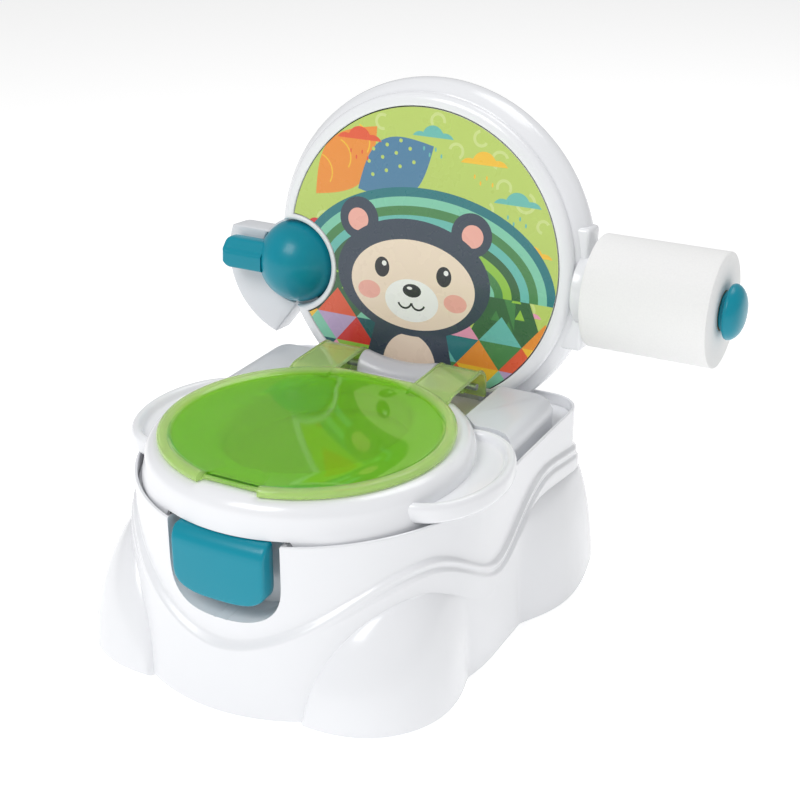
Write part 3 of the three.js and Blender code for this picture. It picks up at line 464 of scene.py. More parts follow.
def grip_surface(side, columns=96):
    """A side grip: an oval profile turned about its own middle, from the dish's floor over a thick
    rolled rim, down the outer wall and back up its hollow underside. It stops inside the ring."""
    x, y, a, b = 112.0 * side, -46.0, 49.0, 72.0
    t = np.linspace(0, 2 * np.pi, columns, endpoint=False)
    profile = [(-49, 153), (-24, 153), (-12.5, 153.0), (-10.5, 153.6), (-9.2, 155.0), (-8.2, 157.2),
               (-7.0, 158.9), (-5.4, 159.8), (-4.0, 160.0), (-2.4, 159.6), (-1.1, 158.4), (-0.2, 156.6),
               (0, 154.5), (0, 151), (0, 148), (-0.5, 146), (-1.6, 144.9), (-3, 144.5), (-4.4, 145),
               (-4.4, 149.8), (-49, 150.2)]
    rows = []
    for inset, z in profile:
        grow = np.array([a + inset, (b + inset) if inset > -40 else 0.0])
        points = np.stack([x + grow[0] * np.sin(t), y - grow[1] * np.cos(t), 0 * t + z], -1)
        points[:, 0] = side * np.maximum(side * points[:, 0], 74.0)
        rows.append(points)
    return np.stack(rows)


ring_sheets = [(ring_surface(), True, True, False)]
ring_sheets += [(grip_surface(side), True, False, True) for side in (1, -1)]
piece("seat_ring_moulding", mesh_of("seat ring", ring_sheets, 40), white_plastic, "seat",
      ["seat_ring"])


# ---- hinge block and pin --------------------------------------------------------------------
# The hinge block is a small pale grey moulding fixed behind the seat ring. A steel pin runs
# through it and through the eyes of the lid's two hooks.

hinge_y, hinge_z, hinge_radius, hinge_half = 90, 164, 14, 35


def slab(x0, x1, y0, y1, z0, z1):
    """A plain bar between two corners, as a closed ring of four edges carried from y0 to y1."""
    ring = np.array([(x0, z0), (x1, z0), (x1, z1), (x0, z1)], float)
    return np.stack([np.stack([ring[:, 0], 0 * ring[:, 0] + y, ring[:, 1]], -1) for y in (y0, y1)])


def saddle():
    """The hinge block's section carried across the chair: flat sides under a rounded top, whose height
    dips between the ends by one less the square of the distance from the middle."""
    t = np.radians(np.linspace(0, 180, 19))
    section = np.concatenate([[(73.2, 143.5), (100.5, 143.5), (103.2, 145.0), (104, 147.5)],
                              np.stack([hinge_y + hinge_radius * np.cos(t),
                                        hinge_z + hinge_radius * np.sin(t)], 1),
                              [(73.6, 161.6), (72.5, 159.5), (72.5, 144.2)]])
    x = np.concatenate([[-hinge_half, -34.7, -34.0], np.linspace(-33, 33, 35),
                        [34.0, 34.7, hinge_half]])[:, None]
    drawn_in = np.interp(np.abs(x), [33, 34, 34.7, hinge_half], [1, 0.985, 0.96, 0.92])
    dip = 5.5 * (1 - (x / hinge_half) ** 2) * np.clip((section[:, 1] - 160) / 18, 0, 1)
    y = 88 + (section[:, 0] - 88) * drawn_in
    z = 160 + (section[:, 1] - dip - 160) * drawn_in
    return np.stack([x + 0 * y, y, z], -1)


grey_plastic = moulded("pale grey plastic", srgb(204, 204, 210), srgb(192, 192, 199), gloss=0.3)
saddle_sheets = [(saddle(), True, False, True), (slab(-21.5, 21.5, 62, 73.5, 144, 150.5), True, False, True)]
piece("hinge_saddle", mesh_of("hinge block", saddle_sheets, 50), grey_plastic, "seat", ["hinge_block"])


def metal(name, colour, gloss):
    """Plain machined steel: a fine mottle of tone and small changes of gloss."""
    material = bpy.data.materials.new(name)
    material.use_nodes = True
    tree = material.node_tree
    shader = tree.nodes["Principled BSDF"]
    where = tree.nodes.new("ShaderNodeTexCoord").outputs["Object"]
    worn = noise(tree, where, 260.0, 4.0)
    tree.links.new(tinted(tree, colour, srgb(150, 153, 158), worn), shader.inputs["Base Color"])
    tree.links.new(sums(tree, "MULTIPLY_ADD", worn, 0.2, gloss - 0.1), shader.inputs["Roughness"])
    shader.inputs["Metallic"].default_value = 1.0
    return material


steel = metal("bright steel", srgb(200, 203, 208), 0.3)
finished("hinge_pin", steel, 0.6, 2)


# ---- lid ------------------------------------------------------------------------------------
# The lid is a clear green moulding: a shallow dish inside a raised rim, with a notch in the front
# to lift it by and two hooked straps at the rear that curl over the hinge pin.

lid_y, lid_radius = -64.0, 117.0


def lid_dish(columns=264):
    """The dish's section turned about the middle. In the front notch the rim is cut back to a straight
    edge, and between the hinge straps the whole rim follows a straight line."""
    t = np.linspace(-np.pi, np.pi, columns, endpoint=False)
    notch = np.arcsin(26.0 / lid_radius)
    t = np.sort(np.concatenate([t, [-notch - 1e-3, -notch + 1e-3, notch - 1e-3, notch + 1e-3]]))
    profile = np.array([(0.0, 174.6), (40, 174.6), (80, 174.6), (103, 174.7), (105.5, 175.3),
                        (107.6, 176.7), (109.2, 177.8), (111, 178.2), (113.8, 178.2), (115.6, 177.6),
                        (116.7, 176.4), (117, 175), (117, 172.6), (116.6, 172.0), (115.4, 172.0),
                        (114.9, 173.8), (113.6, 175.5), (110.6, 175.7), (107.6, 174.3), (104.8, 172.6),
                        (102, 172.2), (60, 172.2), (0, 172.2)])
    radius = profile[:, :1] + 0 * t
    height = profile[:, 1:] + 0 * t
    in_notch = np.abs(t) < notch
    limit = np.where(in_notch, 108.0 / np.cos(t), lid_radius)
    flat = np.where(profile[:, 1:] > 174.6, 174.6, profile[:, 1:])
    lowered = np.where(radius > 100, np.clip(flat, 172.2, 174.6), flat)
    height = np.where(in_notch, lowered, height)
    radius = np.where(in_notch, radius * limit / lid_radius, radius)
    straight = np.where(np.abs(t) > 2.0, 111.0 / np.maximum(-np.cos(t), 0.1), 1e3)
    radius = radius * np.minimum(straight, lid_radius) / lid_radius
    return np.stack([radius * np.sin(t), lid_y - radius * np.cos(t), height], -1)


def strap(side):
    """One hooked strap: a flat section with raised edges carried along a path that runs back from the
    dish and curls a quarter turn down behind the hinge pin."""
    a = np.radians(np.linspace(90, 0, 13))
    path = np.concatenate([
        np.stack([np.linspace(30, 42, 5), 172.9 + 3.2 * ease(np.linspace(0, 1, 5))], 1),
        np.stack([np.linspace(42, 88, 10)[1:], 176.1 + 0.5 * ease(np.linspace(0, 1, 10)[1:])], 1),
        np.stack([hinge_y + 12.6 * np.cos(a), hinge_z + 12.6 * np.sin(a)], 1),
        np.stack([np.full(5, 102.6), np.linspace(161, 151, 5)], 1)])
    along = np.gradient(path, axis=0)
    along /= np.linalg.norm(along, axis=1)[:, None]
    normal = np.stack([-along[:, 1], along[:, 0]], 1)
    section = np.array([(37.6, -1.4), (37, -0.9), (37, 1.7), (37.7, 2.3), (38.9, 2.3), (39.8, 1.4),
                        (56.5, 1.4), (73.2, 1.4), (74.1, 2.3), (75.3, 2.3), (76, 1.7), (76, -0.9),
                        (75.4, -1.4), (56.5, -1.4)])
    x = side * section[:, 0] + 0 * path[:, :1]
    yz = path[:, None, :] + normal[:, None, :] * section[None, :, 1:]
    return np.concatenate([x[..., None], yz], -1)


def turned_x(profile, y, z, columns=48):
    """A profile of (radius, distance along x) turned about an axis that runs across the chair."""
    t = np.linspace(0, 2 * np.pi, columns, endpoint=False)
    profile = np.asarray(profile, float)
    r, x = profile[:, :1], profile[:, 1:]
    return np.stack([x + 0 * t, y + r * np.cos(t), z + r * np.sin(t)], -1)


def eye(side):
    """The bearing under a strap: a short ring about the pin."""
    middle = side * 56.5
    return turned_x([(3.4, middle - 6), (7.4, middle - 6), (8, middle - 5.4), (8, middle + 5.4),
                     (7.4, middle + 6), (3.4, middle + 6)], hinge_y, hinge_z)


clear_green = bpy.data.materials.new("clear green plastic")
clear_green.use_nodes = True
green_tree = clear_green.node_tree
green = green_tree.nodes["Principled BSDF"]
green_place = green_tree.nodes.new("ShaderNodeTexCoord").outputs["Object"]
streaks = noise(green_tree, green_place, 18.0, 3.0)
body_green = tinted(green_tree, srgb(166, 240, 50), srgb(154, 232, 40), streaks)
# From 105 to 109 mm out from the lid's middle the colour blends to a paler, lighter green: a painted
# highlight along the thick clear rim.
from_middle = node(green_tree, "VectorMath", operation="DISTANCE")
from_middle.inputs[1].default_value = (home[0] / 1000, (home[1] + lid_y) / 1000, 0.1745)
green_tree.links.new(green_place, from_middle.inputs[0])
at_rim = node(green_tree, "MapRange", from_min=0.105, from_max=0.109)
green_tree.links.new(from_middle.outputs["Value"], at_rim.inputs["Value"])
rim_painted_highlight = tinted(green_tree, body_green, srgb(222, 250, 165), at_rim.outputs["Result"])
green_tree.links.new(rim_painted_highlight, green.inputs["Base Color"])
green_tree.links.new(sums(green_tree, "MULTIPLY_ADD", noise(green_tree, green_place, 60.0), 0.05, 0.04),
                     green.inputs["Roughness"])
green.inputs["IOR"].default_value = 1.25
green.inputs["Transmission Weight"].default_value = 0.62
green.inputs["Alpha"].default_value = 0.91
green.inputs["Coat Weight"].default_value = 0.4
green.inputs["Coat Roughness"].default_value = 0.04
lid_sheets = [(lid_dish(), True, False, False)]
lid_sheets += [(strap(side), True, False, True) for side in (1, -1)]
lid_sheets += [(eye(side), True, True, False) for side in (1, -1)]
piece("lid_moulding", mesh_of("lid", lid_sheets, 40), clear_green, "lid", ["lid"])


# ---- bowl -----------------------------------------------------------------------------------
# The bowl is a deep oval tub with a flat flange that hangs on the deck frame. It is moulded in the
# same white plastic and lifts out by its grip.


bowl_y, bowl_half_width, bowl_half_length = -50, 86, 94


def bowl_surface(columns=120):
    """Stacked ovals about the bowl's middle: out across the flange and down the inside to a rounded
    floor, then up the outside 2.5 mm away."""
    t = np.linspace(0, 2 * np.pi, columns, endpoint=False)
    inside = [(1.0, 133.8), (0.97, 120), (0.93, 95), (0.89, 70), (0.86, 50), (0.83, 40), (0.78, 33.5),
              (0.70, 31), (0.4, 30.5), (0, 30.5)]
    rows = [(z, s, -1.5) for s, z in inside[::-1]]
    rows += [(135.6, 1, -0.9), (136.6, 1, 0.4), (136.8, 1, 2.5), (136.8, 1, 9.0), (136.3, 1, 9.8),
             (134.6, 1, 10.0), (133.85, 1, 9.6), (133.85, 1, 1.0)]
    rows += [(z - 2.4, s, 1.0) for s, z in inside[1:]]
    z, share, grow = (column[:, None] for column in np.array(rows, float).T)
    grow = grow * (share > 0)
    x = (bowl_half_width * share + grow) * np.sin(t)
    y = bowl_y - (bowl_half_length * share + grow) * np.cos(t)
    return np.stack([x, y, z + 0 * t], -1)


tongue = slab(-28, 28, -183, -143, 133.9, 136.7)
bowl_sheets = [(bowl_surface(), True, False, False), (tongue, True, False, True)]
piece("bowl_tub", mesh_of("bowl", bowl_sheets, 40), white_plastic, "bowl", ["potty_bowl"])


# ---- bowl grip ------------------------------------------------------------------------------
# The grip is a teal block on the front of the bowl, with a rolled top edge over a shallow hollow,
# soft sides and rounded lower corners. It sits in the base's pocket.


def grip_block():
    """A rounded block. Its outline, an upside-down arch with a level top, is drawn in row by row from
    the back edge round a soft shoulder to the face. The face bows a little and rolls back at the top."""
    w, low, waist, high = 40.0, 88.0, 110.0, 141.2
    t = np.linspace(0, np.pi, 64)
    arch = np.stack([w * np.sign(np.cos(t)) * np.abs(np.cos(t)) ** 0.66,
                     waist - (waist - low) * np.sin(t) ** 0.66], 1)
    side = np.linspace(waist, high - 3, 14)[1:, None]
    a = np.radians(np.linspace(0, 90, 5))[1:]
    left = np.concatenate([np.hstack([0 * side - w, side]),
                           np.stack([-w + 3 - 3 * np.cos(a), high - 3 + 3 * np.sin(a)], 1)])
    top = np.stack([np.linspace(-w + 3, w - 3, 26)[1:-1], np.full(24, high)], 1)
    ring = np.concatenate([arch, left, top, left[::-1] * np.array([-1, 1])])
    middle = np.array([0.0, 116.0])
    out = ring - middle
    reach = np.linalg.norm(out, axis=1)[:, None]
    steps = [(16.0, 0.0, 0), (16.0, 1.0, 0.6), (15.5, 1.0, 0.0), (9.0, 1.0, 0.0), (5.0, 1.0, 0.0),
             (2.4, 1.0, 0.1), (1.4, 1.0, 0.4), (0.7, 1.0, 0.9), (0.25, 1.0, 1.6), (0.05, 1.0, 2.4)]
    steps += [(0.0, share, 2.4) for share in np.linspace(0.95, 0, 17)]
    sheet = []
    for depth, share, inset in steps:
        flat = middle + out * (1 - inset / reach) * share
        x, z = flat[:, 0], flat[:, 1]
        bow = 1.6 * (x / w) ** 2 + 0.8 * ((z - 112) / 24) ** 2 * (z < 112)
        rise = np.clip((z - 127.5) / 14, 0, 0.999)
        roll = 12 * (1 - np.sqrt(1 - rise ** 2))
        sheet.append(np.stack([x, -197.0 + depth + (bow + roll) * (1 - depth / 16), z], -1))
    return np.stack(sheet)


teal_plastic = moulded("teal plastic", srgb(8, 146, 168), srgb(6, 134, 156), gloss=0.3, coat=0.08,
                       Specular_IOR_Level=0.3)
piece("bowl_grip_block", mesh_of("bowl grip", [(grip_block(), True, False, False)], 60), teal_plastic,
      "bowl", ["bowl_grip"])


# ---- round back panel: front bezel ----------------------------------------------------------
# The back panel is a round white housing in two halves, leaned back a little. The front half is a
# bezel round the printed disc, with a bite taken out of its left side for the flush lever.

panel_y, panel_z, lean = 126.0, 257.0, np.radians(4.5)
pivot_x, pivot_z, bite_radius = -128.0, -25.0, 39.2


def leaned(local):
    """Turns points on the upright panel (across, back, up from its middle) into the chair's own."""
    x, y, z = local[..., 0], local[..., 1], local[..., 2]
    return np.stack([x, panel_y + y * np.cos(lean) + z * np.sin(lean),
                     panel_z - y * np.sin(lean) + z * np.cos(lean)], -1)


def bitten(radius, bite, level, y, filled=False, count=(200, 70, 70, 50)):
    """The panel's outline at one depth: a circle, less a round bite, cut off level at the bottom.
    It starts at the lower right and runs up over the top; filled leaves the bite out."""
    away = np.hypot(pivot_x, pivot_z)
    toward = np.arctan2(pivot_z, pivot_x)
    half = np.arccos((radius ** 2 + away ** 2 - bite ** 2) / (2 * radius * away))
    first, second = toward % (2 * np.pi) - half, toward % (2 * np.pi) + half
    foot_angle = np.arcsin(level / radius)
    arcs = [np.linspace(foot_angle, first, count[0], endpoint=False)]
    if filled:
        arcs.append(np.linspace(first, second, count[1], endpoint=False))
    arcs.append(np.linspace(second, np.pi - foot_angle, count[2], endpoint=False))
    circle = [np.stack([radius * np.cos(t), radius * np.sin(t)], 1) for t in arcs]
    if not filled:
        start = np.array([radius * np.cos(first) - pivot_x, radius * np.sin(first) - pivot_z])
        end = np.array([radius * np.cos(second) - pivot_x, radius * np.sin(second) - pivot_z])
        a0, a1 = np.arctan2(start[1], start[0]), np.arctan2(end[1], end[0])
        t = np.linspace(a0, a1, count[1], endpoint=False)
        circle.insert(1, np.stack([pivot_x + bite * np.cos(t), pivot_z + bite * np.sin(t)], 1))
    foot_half = np.cos(foot_angle) * radius
    s = np.linspace(-foot_half, foot_half, count[3], endpoint=False)
    circle.append(np.stack([s, 0 * s + level], 1))
    flat = np.concatenate(circle)
    return np.stack([flat[:, 0], 0 * flat[:, 0] + y, flat[:, 1]], -1)


bezel_rows = [(128.9, 45.4, -106.2, 2.5), (128.9, 45.3, -106.3, 0.8), (129.1, 45.1, -106.5, 0.25),
              (129.6, 44.7, -106.9, 0.0), (131.5, 43.6, -107.6, 0.05), (133.5, 42.4, -108.4, 0.3),
              (135.8, 41.2, -109.4, 0.9), (137.6, 40.3, -110.2, 2.0), (138.9, 39.6, -110.8, 3.5),
              (139.6, 39.3, -111.0, 5.2), (139.8, 39.2, -111.0, 7.9), (137.4, 41.8, -109.0, 7.9),
              (137.2, 41.8, -108.6, 5.2), (129.5, 45.0, -106.8, 5.0)]
bezel = np.stack([leaned(bitten(*row)) for row in bezel_rows])
piece("panel_bezel_rim", mesh_of("panel bezel", [(bezel, True, True, False)], 45), white_plastic,
      "base", ["panel_bezel"])

# ---- printed disc ---------------------------------------------------------------------------
# The disc is a label of glossy printed film on a flat plastic plate. Its picture is a bear in front
# of a striped hill, with clouds, trees and a band of coloured triangles, all flat shapes in plain
# inks, so each shape is its own set of faces and the ink is a colour on the face.

art_radius, art_bite, art_level = 127.9, 46.4, -105.3
art_front, art_back = 0.5, 2.3


def dots(x, z, a, b=None, turn=0.0, count=40):
    """An oval outline, turned by an angle in degrees."""
    t = np.linspace(0, 2 * np.pi, count, endpoint=False)
    flat = np.stack([a * np.cos(t), (b or a) * np.sin(t)], 1)
    c, s = np.cos(np.radians(turn)), np.sin(np.radians(turn))
    return flat @ np.array([[c, s], [-s, c]]) + np.array([x, z])


def puff(x, z, size):
    """A cloud outline: three humps on a flat foot, as the highest of three circles over the foot."""
    s = np.linspace(-1.25, 1.25, 50)
    humps = np.stack([np.sqrt(np.clip(r * r - (s - c) ** 2, 0, None)) + raised_by for c, r, raised_by in (
        (-0.75, 0.5, 0), (0.0, 0.62, 0.25), (0.72, 0.53, 0))])
    flat = np.stack([s, np.maximum(humps.max(0), 0)], 1)
    return flat * size + np.array([x, z])


def leaf(x, z, length, width, turn, count=24):
    """A leaf outline: two bowed sides that meet in points."""
    s = np.linspace(0, 1, count, endpoint=False)
    side = np.sin(np.pi * s) * width / 2
    flat = np.concatenate([np.stack([s * length, side], 1), np.stack([(1 - s) * length, -side], 1)])
    c, k = np.cos(np.radians(turn)), np.sin(np.radians(turn))
    return flat @ np.array([[c, k], [-k, c]]) + np.array([x, z])


def band(x, z, radius, width, a0, a1, count=18):
    """A curved stroke: part of a ring between two angles."""
    t = np.radians(np.linspace(a0, a1, count))
    ring = lambda r: np.stack([x + r * np.cos(t), z + r * np.sin(t)], 1)
    return np.concatenate([ring(radius + width / 2), ring(radius - width / 2)[::-1]])


def poly(*corners):
    """An outline from its corners, as x and z in turn."""
    return np.array(corners, float).reshape(-1, 2)


inks = {
    "meadow": (190, 212, 104), "pale": (208, 224, 140), "blue": (74, 128, 165), "orange": (240, 146, 50),
    "teal": (105, 190, 180), "deep": (22, 120, 128), "wood": (70, 135, 75), "dark": (52, 102, 62),
    "slate": (52, 66, 84), "cream": (247, 226, 205), "red": (214, 48, 44), "yellow": (248, 196, 50),
    "pink": (240, 160, 190), "mint": (130, 205, 175), "lime": (150, 200, 70), "coral": (232, 90, 50),
    "lilac": (190, 165, 205), "ink": (24, 28, 36), "blush": (246, 178, 165), "sea": (10, 86, 96),
    "white": (250, 250, 248),
}
picture = [(dots(0, 0, 140, count=90), "meadow")]
for x, z, r, a in ((70, 92, 7, 20), (95, 60, 8, 200), (52, 108, 6, 100), (-60, 70, 7, 250), (90, 28, 7, 80),
                   (108, 5, 8, 150), (30, 95, 6, 300), (75, 70, 6, 330), (-95, 20, 7, 40), (102, -30, 7, 260),
                   (-70, 98, 6, 160), (112, 42, 5, 30), (60, 50, 6, 190), (-40, 112, 6, 60),
                   (12, 118, 6, 350)):
    picture.append((band(x, z, r, 2.6, a, a + 230), "pale"))
picture += [(leaf(-104, 42, 88, 46, 48), "orange"), (leaf(-62, 52, 84, 52, 32), "blue")]
picture += [(band(-104 + 18 * k, 62 + 15 * k, 16, 1.2, -30, 70), "yellow") for k in range(3)]
picture += [(dots(-48 + 13 * i - 4 * (j % 2), 66 + 11 * j + 5 * i, 1.7, count=10), "meadow")
            for i in range(4) for j in range(3)]
for x, z, size, ink in ((-104, 8, 14, "red"), (-62, 90, 18, "coral"), (56, 82, 18, "yellow"),
                        (88, 52, 18, "teal"), (104, 12, 15, "yellow"), (98, -40, 15, "pink"),
                        (8, 100, 16, "teal")):
    picture.append((puff(x, z, size), ink))
    picture += [(dots(x - 8 + 5.5 * k, z - 6 - 5 * (k % 2), 0.9, 2.0, count=8), ink) for k in range(4)]
picture += [(poly(-118, -66, -86, 30, -56, -66), "wood"), (poly(-86, 30, -56, -66, -86, -66), "dark"),
            (poly(62, -66, 92, 6, 122, -66), "wood"), (poly(92, 6, 122, -66, 92, -66), "dark"),
            (poly(-104, -70, -74, 2, -50, -70), "dark"), (poly(46, -70, 74, -6, 100, -70), "dark")]
for x, z in ((-98, -42), (-88, -26), (-84, -8), (82, -52), (92, -40), (88, -26), (-76, -40), (70, -44)):
    picture.append((poly(x, z, x + 9, z, x + 4.5, z + 9), "wood" if x % 4 else "lime"))
for k, ink in enumerate(("deep", "mint", "wood", "teal", "dark", "lime", "wood", "mint")):
    t = np.linspace(0, np.pi, 60)
    picture.append((np.stack([4 + (124 - 8 * k) * np.cos(t), -24 + (84 - 8 * k) * np.sin(t)], 1), ink))
mosaic = ["deep", "mint", "lime", "coral", "sea", "orange", "lilac", "teal", "yellow", "pink", "wood", "red"]
for row, (z0, z1) in enumerate(((-64, -40), (-88, -64), (-112, -88))):
    for k in range(15):
        x0 = -140 + 20 * k
        up = (k + row) % 2
        foot_z, tip_z = (z0, z1) if up else (z1, z0)
        if row or up:
            triangle = poly(x0 - 20, foot_z, x0 + 20, foot_z, x0, tip_z)
            picture.append((triangle, mosaic[(5 * k + 3 * row) % 12]))
picture += [(poly(-40, -62, 28, -62, 42, -120, -54, -120), "slate"), (dots(-6, -100, 26, 30), "cream")]
picture += [(dots(-60, 26, 19), "slate"), (dots(48, 26, 19), "slate"), (dots(-61, 25, 10), "blush"),
            (dots(49, 25, 10), "blush"), (dots(-6, -20, 74, 52, count=90), "slate"),
            (dots(-6, -26, 60, 40, count=80), "cream"), (dots(-48, -36, 11, 8), "blush"),
            (dots(36, -36, 11, 8), "blush"), (dots(-6, -40, 26, 19, count=50), "white"),
            (dots(-36, -14, 7.2, 9), "ink"), (dots(24, -14, 7.2, 9), "ink"), (dots(-34, -10.4, 2.3), "white"),
            (dots(26, -10.4, 2.3), "white"), (dots(-6, -31, 9, 6), "ink"),
            (dots(-8.4, -29, 2.6, 1.3), "white"),
            (band(-12.5, -41, 6.5, 1.8, 200, 350), "ink"), (band(0.5, -41, 6.5, 1.8, 190, 340), "ink")]


def cut_plane(outlines):
    """Triangulates a plane so that every outline is a chain of edges: the points, the triangles and
    each triangle's middle."""
    points, edges, start = [], [], 0
    for shape in outlines:
        n = len(shape)
        points += [Vector(p) for p in shape.tolist()]
        edges += [(start + i, start + (i + 1) % n) for i in range(n)]
        start += n
    cut = geometry.delaunay_2d_cdt(points, edges, [], 0, 1e-4)
    plane, triangles = np.array([p[:] for p in cut[0]]), np.array(cut[2])
    return plane, triangles, plane[triangles].mean(1)


def within(shape, middle):
    """The even-odd test of points against one outline: how often a line to the right crosses it."""
    a, b = shape, np.roll(shape, -1, 0)
    x, z = middle[:, 0][:, None], middle[:, 1][:, None]
    crosses = (a[:, 1] > z) != (b[:, 1] > z)
    slope = (b[:, 0] - a[:, 0]) / np.where(b[:, 1] == a[:, 1], 1e-9, b[:, 1] - a[:, 1])
    return (crosses & (x < a[:, 0] + (z - a[:, 1]) * slope)).sum(1) % 2 == 1


def printed(outlines, rim):
    """Cuts the plane along every outline and gives each triangle the ink of the last shape over it."""
    plane, triangles, middle = cut_plane([rim] + [shape for shape, _ in outlines[1:]])
    ink = np.tile(np.array(srgb(*inks[outlines[0][1]])), (len(triangles), 1))
    for shape, name in outlines[1:]:
        ink[within(shape, middle)] = srgb(*inks[name])
    kept = within(rim, middle)
    return plane, triangles[kept], ink[kept]


art_rim = bitten(art_radius, art_bite, art_level, 0.0, count=(150, 50, 50, 40))[:, [0, 2]]
flat, art_faces, art_ink = printed(picture, art_rim)
used, renumber = np.unique(art_faces, return_inverse=True)
flat, art_faces = flat[used], renumber.reshape(art_faces.shape)
front_points = leaned(np.stack([flat[:, 0], 0 * flat[:, 0] + art_front, flat[:, 1]], -1))
rim_rows = np.stack([leaned(np.stack([art_rim[:, 0], 0 * art_rim[:, 0] + y, art_rim[:, 1]], -1))
                     for y in (art_front, art_back)])
art_mesh = bpy.data.meshes.new("printed disc")
edge_count = len(art_rim)
edge_start = len(front_points)
ring_index = edge_start + np.arange(edge_count)
side_faces = np.stack([ring_index, np.roll(ring_index, -1), np.roll(ring_index, -1) + edge_count,
                       ring_index + edge_count], 1)
art_points = (np.concatenate([front_points, rim_rows.reshape(-1, 3)]) + home) / 1000
art_mesh.from_pydata(art_points.tolist(), [], art_faces.tolist() + side_faces.tolist()
                     + [(ring_index + edge_count).tolist()])
ink_layer = art_mesh.color_attributes.new("ink", "FLOAT_COLOR", "CORNER")
plain_white = np.array([srgb(*inks["white"])])
corner_inks = np.concatenate([np.repeat(art_ink, 3, 0), np.repeat(plain_white, 5 * edge_count, 0)])
ink_layer.data.foreach_set("color", corner_inks.astype(np.float32).ravel())
work = bmesh.new()
work.from_mesh(art_mesh)
bmesh.ops.remove_doubles(work, verts=work.verts, dist=2e-6)
bmesh.ops.recalc_face_normals(work, faces=work.faces)
work.to_mesh(art_mesh)
work.free()

film = bpy.data.materials.new("printed film")
film.use_nodes = True
film_tree = film.node_tree
film_shader = film_tree.nodes["Principled BSDF"]
ink_node = node(film_tree, "VertexColor", layer_name="ink")
film_place = film_tree.nodes.new("ShaderNodeTexCoord").outputs["Object"]
grain = noise(film_tree, film_place, 900.0, 2.0)
worn_spots = sums(film_tree, "MULTIPLY", grain, 0.03)
paler = tinted(film_tree, ink_node.outputs["Color"], (1.0, 1.0, 1.0, 1.0), worn_spots)
film_tree.links.new(paler, film_shader.inputs["Base Color"])
film_tree.links.new(sums(film_tree, "MULTIPLY_ADD", noise(film_tree, film_place, 40.0), 0.12, 0.22),
                    film_shader.inputs["Roughness"])
film_shader.inputs["Coat Weight"].default_value = 0.3
film_shader.inputs["Coat Roughness"].default_value = 0.06
piece("printed_disc", art_mesh, film, "base", ["art_panel"])


# ---- round back panel: rear cover -----------------------------------------------------------
# The rear half is a deeper white moulding that widens to the back. It carries the fan-shaped ear
# behind the flush lever, the block and round boss for the paper spindle, the sound unit's slots
# and battery opening, and a plug that drops into the deck frame.

# (radius, depth) of the side wall from the seam to the back.
cover_side = [(137.5, 8.3), (139.2, 8.4), (140.6, 9.2), (142.4, 10.6), (144.2, 12.6), (146.4, 15.6),
              (148.2, 19.2)]
cover_rear = [(148.5, 19.7), (149.6, 24), (150.0, 28), (149.9, 31), (149.2, 33.6), (147.8, 35.6),
              (145.8, 36.7), (143.6, 37.0)]


def level_at(y):
    """The height, on the leaned panel, of the level cut at its foot."""
    return (146.0 - panel_z + y * np.sin(lean)) / np.cos(lean)


def pierced(edge_line, holes, y, depth, floors):
    """A flat wall at depth y with holes in it: the plane is cut along every outline, triangles inside
    a hole are left out, and each hole gets a side wall, and a floor where it is blind."""
    plane, triangles, middle = cut_plane([edge_line] + holes)
    keep = within(edge_line, middle)
    for hole in holes:
        keep &= ~within(hole, middle)
    points = [leaned(np.stack([plane[:, 0], 0 * plane[:, 0] + y, plane[:, 1]], -1))]
    faces = triangles[keep].tolist()
    start = len(plane)
    for hole, down, blind in zip(holes, depth, floors):
        n = len(hole)
        for level in (y, y - down):
            points.append(leaned(np.stack([hole[:, 0], 0 * hole[:, 0] + level, hole[:, 1]], -1)))
        ring = start + np.arange(n)
        faces += np.stack([ring, np.roll(ring, -1), np.roll(ring, -1) + n, ring + n], 1).tolist()
        if blind:
            faces.append((ring + n).tolist())
        start += 2 * n
    return np.concatenate(points), faces


rows = [leaned(bitten(r, bite_radius, level_at(y), y)) for r, y in cover_side]
rows += [leaned(bitten(r, bite_radius, level_at(y), y, filled=True)) for r, y in cover_rear]
cover_front = np.stack(rows)
back_outline = bitten(143.6, bite_radius, level_at(37.0), 37.0, filled=True)[:, [0, 2]]
oblong = lambda x, z, w, h: poly(x - w, z - h, x + w, z - h, x + w, z + h, x - w, z + h)
sound_slots = [oblong(0, 62 + v, np.sqrt(225 - v * v), 1.1) for v in (-10, -5, 0, 5, 10)]
wells = [dots(x, z, 4.6, count=24) for x, z in ((88, 78), (-88, 78), (92, -66), (-66, -84))]
holes = [oblong(0, -42, 32, 28), oblong(62, -42, 7, 3)] + sound_slots + wells
depths = [3.9, 3.4] + [3.0] * 5 + [5.5] * 4
back_points, back_faces = pierced(back_outline, holes, 37.0, depths, [True, True] + [False] * 5 + [True] * 4)
cover_mesh = mesh_of("panel rear cover", [(cover_front, True, False, False)], 30)
joined = bmesh.new()
joined.from_mesh(cover_mesh)
extra = bpy.data.meshes.new("cover back")
extra.from_pydata(((back_points + home) / 1000).tolist(), [], back_faces)
joined.from_mesh(extra)
bmesh.ops.remove_doubles(joined, verts=joined.verts, dist=4e-6)
bmesh.ops.recalc_face_normals(joined, faces=joined.faces)
joined.to_mesh(cover_mesh)
joined.free()
cover_mesh.shade_smooth()
cover_mesh.set_sharp_from_angle(angle=np.radians(30))
piece("panel_cover_shell", cover_mesh, white_plastic, "base", ["panel_back_cover"])


